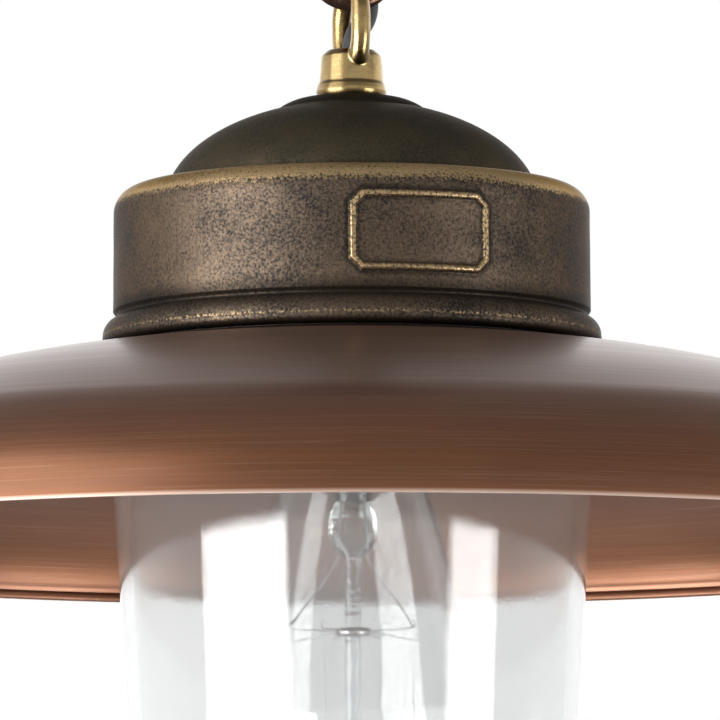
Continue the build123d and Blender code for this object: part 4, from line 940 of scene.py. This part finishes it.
# %% Chain
LINK_WIRE = 2.05
LINK_R = 10.95
LINK_STRAIGHT = 12.0
links = [("chain_link_1", "lower_link"), ("chain_link_2", "middle_link"), ("chain_link_3", "upper_link")]
for number, (node, body) in enumerate(links):
    low = level(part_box(node)[0].z) + LINK_WIRE + LINK_R
    points = long_ring(low, low + LINK_STRAIGHT, LINK_R, 26)[:-1]
    radii = []
    route = []
    for k, (x, h) in enumerate(points):
        flat_point = (x * mm, 0, 0) if number % 2 == 0 else (0, x * mm, 0)
        route.append(turn_chain(flat_point) + Vector((0, 0, up(h))))
        seam = bump_at(h, low + LINK_STRAIGHT / 2, 2.4) if x > 5 else 0.0
        radii.append(LINK_WIRE * mm * (0.99 + 0.09 * seam))
    bm = bmesh.new()
    pipe(bm, route, radii, closed=True, sides=24)
    link = finish_mesh(bm, node + "_forged", 60)
    rubbed = link.data.attributes.new("wear_and_highlight", "FLOAT", "POINT")
    for vert in link.data.vertices:
        h = level(vert.co.z)
        ends = max(bump_at(h, low - LINK_R + LINK_WIRE, 3.0),
                   bump_at(h, low + LINK_STRAIGHT + LINK_R - LINK_WIRE, 3.0))
        rubbed.data[vert.index].value = 0.55 * ends + 0.05
    settle(link, body, chain_bronze, "chain_bronze", node)

# %% [markdown]
# The supply cable rises through the collar's bore and runs beside the chain into the ceiling rose. It bends
# where two links meet, so each length crosses one joint.

# %% Cable
CABLE_R = 2.8


def cable_length(number, points, parent, child):
    """One length of cable: a round bar along a smooth curve through its points."""
    curve = bpy.data.curves.new(f"cable_run_{number}", "CURVE")
    curve.dimensions = "3D"
    spline = curve.splines.new("NURBS")
    spline.points.add(len(points) - 1)
    for target, p in zip(spline.points, points):
        target.co = (*p, 1.0)
    spline.order_u = 3
    spline.use_endpoint_u = True
    spline.resolution_u = 16
    holder = bpy.data.objects.new(f"cable_run_{number}", curve)
    bpy.context.scene.collection.objects.link(holder)
    line = bpy.data.meshes.new_from_object(holder)
    route = [v.co.copy() for v in line.vertices]
    bpy.data.objects.remove(holder)
    bm = bmesh.new()
    pipe(bm, route, CABLE_R * mm, sides=22, blunt=False)
    piece = finish_mesh(bm, f"supply_cable_{number}", 60)
    piece.data.materials.append(cable_sheath)
    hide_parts(f"cable_{number}")
    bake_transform(piece)
    print(piece.name, "crosses", parent, "to", child)


run = (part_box("cable_2")[0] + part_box("cable_2")[1]) / 2
bush = (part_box("cable_bush")[0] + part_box("cable_bush")[1]) / 2
span = {n: (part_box(n)[0].z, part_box(n)[1].z) for n in ("cable_1", "cable_2", "cable_3", "cable_4")}


cable_1 = [(0, 0, span["cable_1"][0]), (0, 0, up(118)), (0, 0, up(134)), (run.x, run.y, up(140.5)),
           (run.x, run.y, up(147)), (run.x, run.y, span["cable_1"][1])]
cable_length(1, cable_1, "lower_link", "lamp_head")
cable_2 = [(run.x, run.y, span["cable_2"][0]), (run.x, run.y, up(175)), (run.x, run.y, span["cable_2"][1])]
cable_length(2, cable_2, "middle_link", "lower_link")
cable_3 = [(run.x, run.y, span["cable_3"][0]), (run.x, run.y, up(204)), (run.x, run.y, span["cable_3"][1])]
cable_length(3, cable_3, "upper_link", "middle_link")
hook_mid = level(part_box("ceiling_hook")[0].z) + 2.75 + 10.0
cable_4 = [(run.x, run.y, span["cable_4"][0]), (run.x, run.y, up(232)), (run.x, run.y, up(hook_mid + 2)),
           (bush.x, bush.y, up(hook_mid + 14)), (bush.x, bush.y, up(hook_mid + 19)),
           (bush.x, bush.y, span["cable_4"][1])]
cable_length(4, cable_4, "ceiling_mount", "upper_link")

# %% [markdown]
# The glass jar: a pressed, slightly tapering jar with a flange under its mouth, a soft heel and a bottom that
# bulges a little. Its wall is thick enough to bend what is seen through it.

# %% Glass jar
flange_top = level(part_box("glass_jar")[1].z)
jar_foot = level(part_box("glass_jar")[0].z)
flange_low = flange_top - 4.5
JAR_WALL = 3.8


def jar_skin(inset):
    """One skin of the jar from under the flange to the middle of its foot."""
    side = arc_through((63.3 - inset, flange_low), (60.0 - inset, -13.7), (56.3 - inset, -94.0), 40)
    corner = (55.4 - inset, jar_foot + 3.2 + inset)
    foot_line = [(30.0 - inset * 0.3, jar_foot + 0.75 + inset), (0.0, jar_foot + inset)]
    path = side + [corner] + foot_line
    return soften(path, [0] * len(side) + [15.0 - inset, 40.0, 0], 12, closed=False)


outer_jar = jar_skin(0.0)
inner_jar = jar_skin(JAR_WALL)
mouth = soften([(63.3, flange_low), (66.4, flange_low), (66.4, flange_top), (59.5, flange_top),
                (59.5, flange_low)], [0.8, 1.2, 1.2, 0.8, 0], 5, closed=False)[1:]
outline = list(reversed(outer_jar)) + mouth[:-1] + inner_jar[1:]
jar = turned("glass_jar_pressed", outline, count=320, closed=False, crease=60)
settle(jar, "glass", jar_glass, "jar_glass", "glass_jar")

# %% [markdown]
# The lamp: a clear drop-shaped envelope, a glass stem with its pinched press, a rod that carries two wire
# wheels, two lead wires and a fine filament strung up and down between the wheels.

# %% Lamp envelope
BULB_R = 32.0
BULB_MID = -46.0


def envelope_skin(t):
    """One skin of the envelope; t is its distance inside the outer skin."""
    ball = BULB_R - t
    flank = flow([(12.2 - t, 35.0), (13.4 - t, 31.0), (15.6 - t, 24.0), (20.4 - t, 13.0), (26.2 - t, -9.0),
                  (ball * cos(radians(20)), BULB_MID + ball * sin(radians(20)))], 8)
    round_end = [(ball * cos(radians(v)), BULB_MID + ball * sin(radians(v))) for v in range(16, -90, -4)]
    return flank + round_end + [(0.0, BULB_MID - ball)]


outline = list(reversed(envelope_skin(0.0))) + envelope_skin(0.7)
envelope = turned("bulb_envelope_blown", outline, count=200, closed=False, crease=60)
settle(envelope, "bulb", bulb_glass, "bulb_glass", "bulb_envelope")

# %% Lamp stem and wires
ROD_R = 2.1
WHEEL_Z = -20.5
LOW_WHEEL_Z = -62.0
bm = bmesh.new()
stem_outline = soften(
    [(0, 34.4), (9.4, 34.4), (8.6, 30.0), (5.4, 22.0), (4.6, 13.0), (6.0, 9.0), (6.3, 4.0), (4.6, 0.9),
     (2.4, -1.4),
     (ROD_R, -4.0), (ROD_R, LOW_WHEEL_Z - 1.0), (0, LOW_WHEEL_Z - 3.0)],
    [0, 0.5, 4, 6, 3, 3, 3, 2, 1.5, 2, 1.5, 0], 6, closed=False)


def press_shape(r, h, a):
    """Pinch the stem flat across the press, with the marks of the jaws."""
    pinch = smooth_step(h, -3.0, 1.5) * (1 - smooth_step(h, 10.0, 20.0))
    squeeze = 1 - 0.52 * pinch * abs(cos(a)) ** 1.5
    return r * squeeze + 0.25 * pinch * noise.noise(Vector((sin(a) * 3, cos(a) * 3, h * 0.5))), h


lathe_into(bm, stem_outline, even_angles(64), closed=False, shape=press_shape)
stem = finish_mesh(bm, "bulb_stem_pressed", 60)
settle(stem, "bulb", stem_glass, "stem_glass", "bulb_stem")

random.seed(7)


def lamp_point(x, y, h):
    """A point in the lamp, in millimetres across and above the rim."""
    return Vector((x * mm, y * mm, up(h)))


bm = bmesh.new()
spokes = []
for wheel_h in (WHEEL_Z, LOW_WHEEL_Z):
    hub = soften([(ROD_R + 0.05, -1.1), (4.5, -1.0), (4.7, 0.0), (4.4, 1.0), (ROD_R + 0.05, 1.1)], 0.5, 4)
    lathe_into(bm, [(r, wheel_h + h) for r, h in hub], even_angles(40))
    for k in range(8):
        a = radians(22.5 + 45 * k + random.uniform(-5, 5))
        sag = random.uniform(-2.2, 1.0)
        reach = random.uniform(16.4, 17.6)
        tip = (reach * cos(a), reach * sin(a), wheel_h + sag)
        spokes.append((wheel_h, a, tip))
        hook = 1.1 if wheel_h == WHEEL_Z else -1.1
        points = [lamp_point(4.2 * cos(a), 4.2 * sin(a), wheel_h),
                  lamp_point(0.6 * reach * cos(a), 0.6 * reach * sin(a), wheel_h + sag * 0.35),
                  lamp_point(*tip),
                  lamp_point(tip[0] * 1.05, tip[1] * 1.05, tip[2] + hook),
                  lamp_point(tip[0] * 1.01, tip[1] * 1.01, tip[2] + hook * 1.8)]
        pipe(bm, flow(points, 5), 0.14 * mm, sides=8)
wheels = finish_mesh(bm, "bulb_wheels_wired", 60)
settle(wheels, "bulb", drawn_wire, "bulb_wire", "bulb_supports")

bm = bmesh.new()
for side in (-1, 1):
    points = [lamp_point(side * 2.6, 0, 14.0), lamp_point(side * 3.4, 0, 4.0),
              lamp_point(side * 3.6, 0.4, -0.6),
              lamp_point(side * 7.5, 1.0, -7.5), lamp_point(side * 12.5, 1.2, -14.0),
              lamp_point(side * 15.6, side * 6.4, WHEEL_Z + 1.6)]
    pipe(bm, flow(points, 6), 0.26 * mm, sides=10)
lead_wires = finish_mesh(bm, "bulb_leads_drawn", 60)
settle(lead_wires, "bulb", drawn_wire, "bulb_wire", "bulb_lead_wires")

bm = bmesh.new()
upper = [s[2] for s in spokes if s[0] == WHEEL_Z]
lower = [s[2] for s in spokes if s[0] == LOW_WHEEL_Z]
strung = []
for k in range(8):
    strung += [upper[k], lower[k]] if k % 2 == 0 else [lower[k], upper[k]]
for a, b in zip(strung, strung[1:]):
    pipe(bm, [lamp_point(*a), lamp_point(*b)], 0.035 * mm, sides=6)
filament = finish_mesh(bm, "bulb_filament_strung", 60)
settle(filament, "bulb", drawn_wire, "bulb_wire", "bulb_filament")

# %% [markdown]
# Threads. The lamp's base, the holder's shell, the gallery and the retaining ring are threaded. A thread is a
# wave that climbs by one pitch each turn, so `thread` bends a lathe piece out of round by that wave.


# %% Threaded pieces
def thread(radius, pitch, depth, low, high):
    """A shape for a lathe piece with a round thread between two heights."""
    def bend(r, h, a):
        if abs(r - radius) > 0.05 or not low <= h <= high:
            return r, h
        fade = smooth_step(h, low, low + pitch) * (1 - smooth_step(h, high - pitch, high))
        return r + depth * fade * cos(2 * pi * h / pitch + a), h
    return bend


def climb(r, low, high, step):
    """Evenly spaced outline points up a cylinder."""
    count = max(2, int((high - low) / step))
    return [(r, low + (high - low) * k / count) for k in range(count + 1)]


base_low = level(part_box("bulb_base")[0].z)
base_top = level(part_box("bulb_base")[1].z)
base_line = [(12.6, base_low)] + climb(12.75, base_low + 0.3, base_top - 3.2, 0.45) + [(11.0, base_top),
    (0, base_top)]
base_inside = [(0, base_top - 0.4), (10.8, base_top - 0.4), (12.1, base_top - 3.4), (12.1, base_low)]
base = turned("bulb_base_rolled", base_line + base_inside, count=96, closed=True,
              shape=thread(12.75, 3.63, 0.38, base_low + 1, base_top - 3.2))
settle(base, "bulb", cap_metal, "bulb_cap_metal", "bulb_base")

gallery_low = level(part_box("gallery_ring")[0].z)
gallery_top = level(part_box("gallery_ring")[1].z)
gallery_line = [(47.0, gallery_low), (68.2, gallery_low)]
gallery_line += climb(68.7, gallery_low + 0.4, gallery_top - 2.4, 0.3)
gallery_line += [(68.0, gallery_top - 2.0), (62.2, gallery_top - 2.0), (62.0, gallery_top - 1.8),
                 (62.0, gallery_top),
                 (47.0, gallery_top)]
gallery = turned("gallery_turned", gallery_line, count=200,
                 shape=thread(68.7, 3.0, 0.28, gallery_low + 0.2, gallery_top - 2.2), crease=50)
settle(gallery, "lamp_head", aged_brass, "aged_brass", "gallery_ring")

ring_low = level(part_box("retaining_ring")[0].z)
ring_top = level(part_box("retaining_ring")[1].z)
lip_top = ring_low + 2.4
RING_OUT = 73.3
RING_IN = 69.6


def ring_shape(r, h, a):
    """Thread inside, six finger scallops outside."""
    if r > RING_OUT - 1.6:
        near = abs((a + pi / 6) % (pi / 3) - pi / 6) * RING_OUT
        dip = max(0.0, 2.2 * (1 - (near / 5.2) ** 2)) if near < 5.2 else 0.0
        dip *= 1 - smooth_step(h, ring_top - 3.6, ring_top - 2.4)
        return r - dip, h
    return thread(RING_IN, 3.0, 0.25, lip_top + 0.4, ring_top)(r, h, a)


ring_line = soften([(64.0, ring_low), (RING_OUT - 0.9, ring_low), (RING_OUT, ring_low + 1.0)],
                   [0.5, 0.4, 0.4], 3,
                   closed=False)
ring_line += climb(RING_OUT, ring_low + 1.3, ring_top - 1.0, 0.6)
ring_line += [(RING_OUT - 0.3, ring_top - 0.3), (RING_OUT - 0.8, ring_top), (RING_IN + 0.4, ring_top)]
ring_line += list(reversed(climb(RING_IN, lip_top + 0.3, ring_top - 0.4, 0.35)))
ring_line += [(RING_IN - 0.4, lip_top), (64.0, lip_top), (63.6, lip_top - 0.4), (63.6, ring_low + 0.4)]
retaining = turned("retaining_ring_turned", ring_line, count=360, shape=ring_shape,
                   wear_and_highlight=lambda r, h, a: 0.75 if r > RING_OUT - 1.2 else 0.2, crease=45)
settle(retaining, "ring", aged_brass, "aged_brass", "retaining_ring")

# %% [markdown]
# The ceiling fittings: a spun rose with a rolled mouth, a hook bent from bar with its eye left open at the
# side, and hexagon nuts with chamfered corners.

# %% Rose, hook and nuts
rose_low = level(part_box("ceiling_rose")[0].z)
rose_top = level(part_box("ceiling_rose")[1].z)
rose_outer = [(3.2, rose_low), (20.0, rose_low)] + arc_through(
    (24.0, rose_low), (24 + 24 * sin(pi / 4), rose_top + 0.4 - 4 - 21 * cos(pi / 4)),
    (48.0, rose_top - 3.6), 26)
rose_inner = [(r - 1.0 if r > 30 else r, h + 1.0) for r, h in rose_outer]
rose_mouth = [(48.0, rose_top - 0.9), (47.6, rose_top - 0.2), (47.1, rose_top), (46.8, rose_top - 0.8)]
rose = turned("rose_spun", rose_outer + rose_mouth + list(reversed(rose_inner)), count=240,
              wear_and_highlight=lambda r, h, a: 0.6 * smooth_step(h, rose_top - 3, rose_top) + 0.25 * bump_at(r, 24, 4),
              crease=50)
settle(rose, "ceiling_mount", aged_brass, "aged_brass", "ceiling_rose")

HOOK_R = 10.0
eye = [(HOOK_R * cos(radians(v)), hook_mid + HOOK_R * sin(radians(v))) for v in range(122, 372, 8)]
plate_low = level(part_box("ceiling_plate")[0].z)
shank = [(0, plate_low + 2.4), (0, hook_mid + 22), (0, hook_mid + 16.5), (-0.6, hook_mid + 12.6)]
hook_line = flow([(0, y, h) for y, h in shank + eye], 4)
route = [turn_chain((0, y * mm, 0)) + Vector((0, 0, up(h))) for _, y, h in hook_line]
radii = [2.75 * mm if h < hook_mid + 15 else 2.9 * mm for _, y, h in hook_line]
bm = bmesh.new()
pipe(bm, route, radii, sides=24)
hook = finish_mesh(bm, "ceiling_hook_bent", 60)
settle(hook, "ceiling_mount", chain_bronze, "chain_bronze", "ceiling_hook")


def hex_nut(name, node, across_flats, bore):
    """A hexagon nut with chamfered corners where a CAD nut sits."""
    low, high = level(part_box(node)[0].z), level(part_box(node)[1].z)
    corner = across_flats / 2 / cos(pi / 6)

    def flats(r, h, a):
        """Keep the outer wall on six flats."""
        if r < bore + 0.5:
            return r, h
        reach = across_flats / 2 / cos((a + pi / 6) % (pi / 3) - pi / 6)
        return min(r, reach), h

    outline = [(bore, low + 0.3), (bore + 0.3, low), (across_flats / 2 - 0.1, low), (corner, low + 0.75)]
    outline += [(corner, high - 0.75), (across_flats / 2 - 0.1, high), (bore + 0.3, high),
                (bore, high - 0.3)]
    return turned(name, outline, count=96, shape=flats, crease=30)


nut = hex_nut("rose_nut_milled", "rose_nut", 10.0, 3.05)
settle(nut, "ceiling_mount", polished_brass, "polished_brass", "rose_nut")

# %% [markdown]
# The pieces whose CAD shape is already right keep it, and take a finish: plates, straps, screws, gaskets,
# the lampholder and its wiring.

# %% Finishes for the CAD pieces
finish_of = {
    "zinc_steel": zinc_steel, "chain_bronze": chain_bronze, "aged_brass": aged_brass,
    "dark_bronze": dark_bronze,
    "polished_brass": polished_brass, "shade_copper": shade_copper, "black_rubber": black_rubber,
    "cable_sheath": cable_sheath, "white_plastic": white_plastic, "brown_wire": brown_wire,
    "blue_wire": blue_wire,
    "green_wire": green_wire, "white_sleeve": white_sleeve, "porcelain": porcelain,
    "contact_brass": contact_brass,
    "jar_glass": jar_glass, "bulb_glass": bulb_glass, "stem_glass": stem_glass, "bulb_cap_metal": cap_metal,
    "black_ceramic": black_ceramic, "solder": solder, "bulb_wire": drawn_wire,
}
slot_of = {s["node"]: s["material_slot"] for s in frame["record"]["subparts"]}
for node, cad in frame["nodes"].items():
    cad.data.materials.clear()
    cad.data.materials.append(finish_of[slot_of[node]])
print("finished", len(slot_of), "CAD nodes")

# %% [markdown]
# Light. The lamp hangs in a white studio: the wall behind it is bright, the room is paler near the horizon
# than overhead, and it dims below eye level, so that the edges of the glass aren't blank white. Two softboxes
# stand at the sides of the camera, reach down below the lamp, and make the pale patches on the glass.
# The left one has a dimmer one above it, for the soft highlight along the shade's edge. The floor is pale and
# well below the lamp.

# %% World
world = bpy.data.worlds.new("studio")
bpy.context.scene.world = world
world.use_nodes = True
tree = world.node_tree
direction = put(tree, "ShaderNodeTexCoord").outputs["Generated"]
axes = put(tree, "ShaderNodeSeparateXYZ")
join(tree, direction, axes.inputs[0])
WALL, HORIZON, OVERHEAD = 0.85, 1.05, 0.33
SKIRT_FROM, SKIRT_TO, SKIRT_SHARE = -0.05, 0.22, 0.35
behind = remap(tree, axes.outputs["Y"], -0.15, 0.35)
low = remap(tree, axes.outputs["Z"], 0.72, 0.14)
pale = math(tree, "ADD", math(tree, "MULTIPLY", behind, WALL), HORIZON)
skirt = remap(tree, axes.outputs["Z"], SKIRT_FROM, SKIRT_TO, SKIRT_SHARE, 1.0)
pale = math(tree, "MULTIPLY", pale, skirt)
glow = math(tree, "ADD", math(tree, "MULTIPLY", low, pale), OVERHEAD)
path = put(tree, "ShaderNodeLightPath")
seen = math(tree, "MAXIMUM", path.outputs["Is Camera Ray"], path.outputs["Is Transmission Ray"])
hidden = math(tree, "SUBTRACT", 1.0, seen)
brightness = math(tree, "ADD", math(tree, "MULTIPLY", glow, hidden), seen)
background = tree.nodes["Background"]
background.inputs["Color"].default_value = (1.0, 1.0, 1.0, 1.0)
join(tree, brightness, background.inputs["Strength"])
print("world ready")


# %% Softboxes and floor
def softbox(name, azimuths, elevations, radiance, distance=1.5):
    """A rectangular lamp facing the lantern, given by the angles it spans as seen from there."""
    a = radians(sum(azimuths) / 2)
    e = radians(sum(elevations) / 2)
    width = 2 * distance * sin(radians(azimuths[1] - azimuths[0]) / 2)
    height = 2 * distance * sin(radians(elevations[1] - elevations[0]) / 2)
    light = bpy.data.lights.new(name, "AREA")
    light.shape = "RECTANGLE"
    light.size = width
    light.size_y = height
    light.energy = radiance * pi * width * height
    lamp = bpy.data.objects.new(name, light)
    bpy.context.scene.collection.objects.link(lamp)
    away = Vector((sin(a) * cos(e), -cos(a) * cos(e), sin(e)))
    lamp.location = Vector((0, 0, rim_level)) + away * distance
    lamp.rotation_euler = away.to_track_quat("Z", "Y").to_euler()
    print(name, "radiance", radiance)


softbox("softbox_left_low", (-80, -30), (-38, 14), 13.0)
softbox("softbox_left_high", (-80, -38), (14, 50), 2.6)
softbox("softbox_right_low", (48, 75), (-38, 3), 9.5)

floor_mesh = bpy.data.meshes.new("floor")
reach = 9.0
floor_z = cad_box[0][2] - 1.6
corners = [(-reach, -reach, floor_z), (reach, -reach, floor_z), (reach, reach, floor_z),
           (-reach, reach, floor_z)]
floor_mesh.from_pydata(corners, [], [(0, 1, 2, 3)])
floor = bpy.data.objects.new("floor", floor_mesh)
bpy.context.scene.collection.objects.link(floor)
floor_material = plain_finish("floor_paint", (0.80, 0.80, 0.79), 0.7, vary=0.02)
floor_mesh.materials.append(floor_material)
print("floor at", round(floor_z, 3))
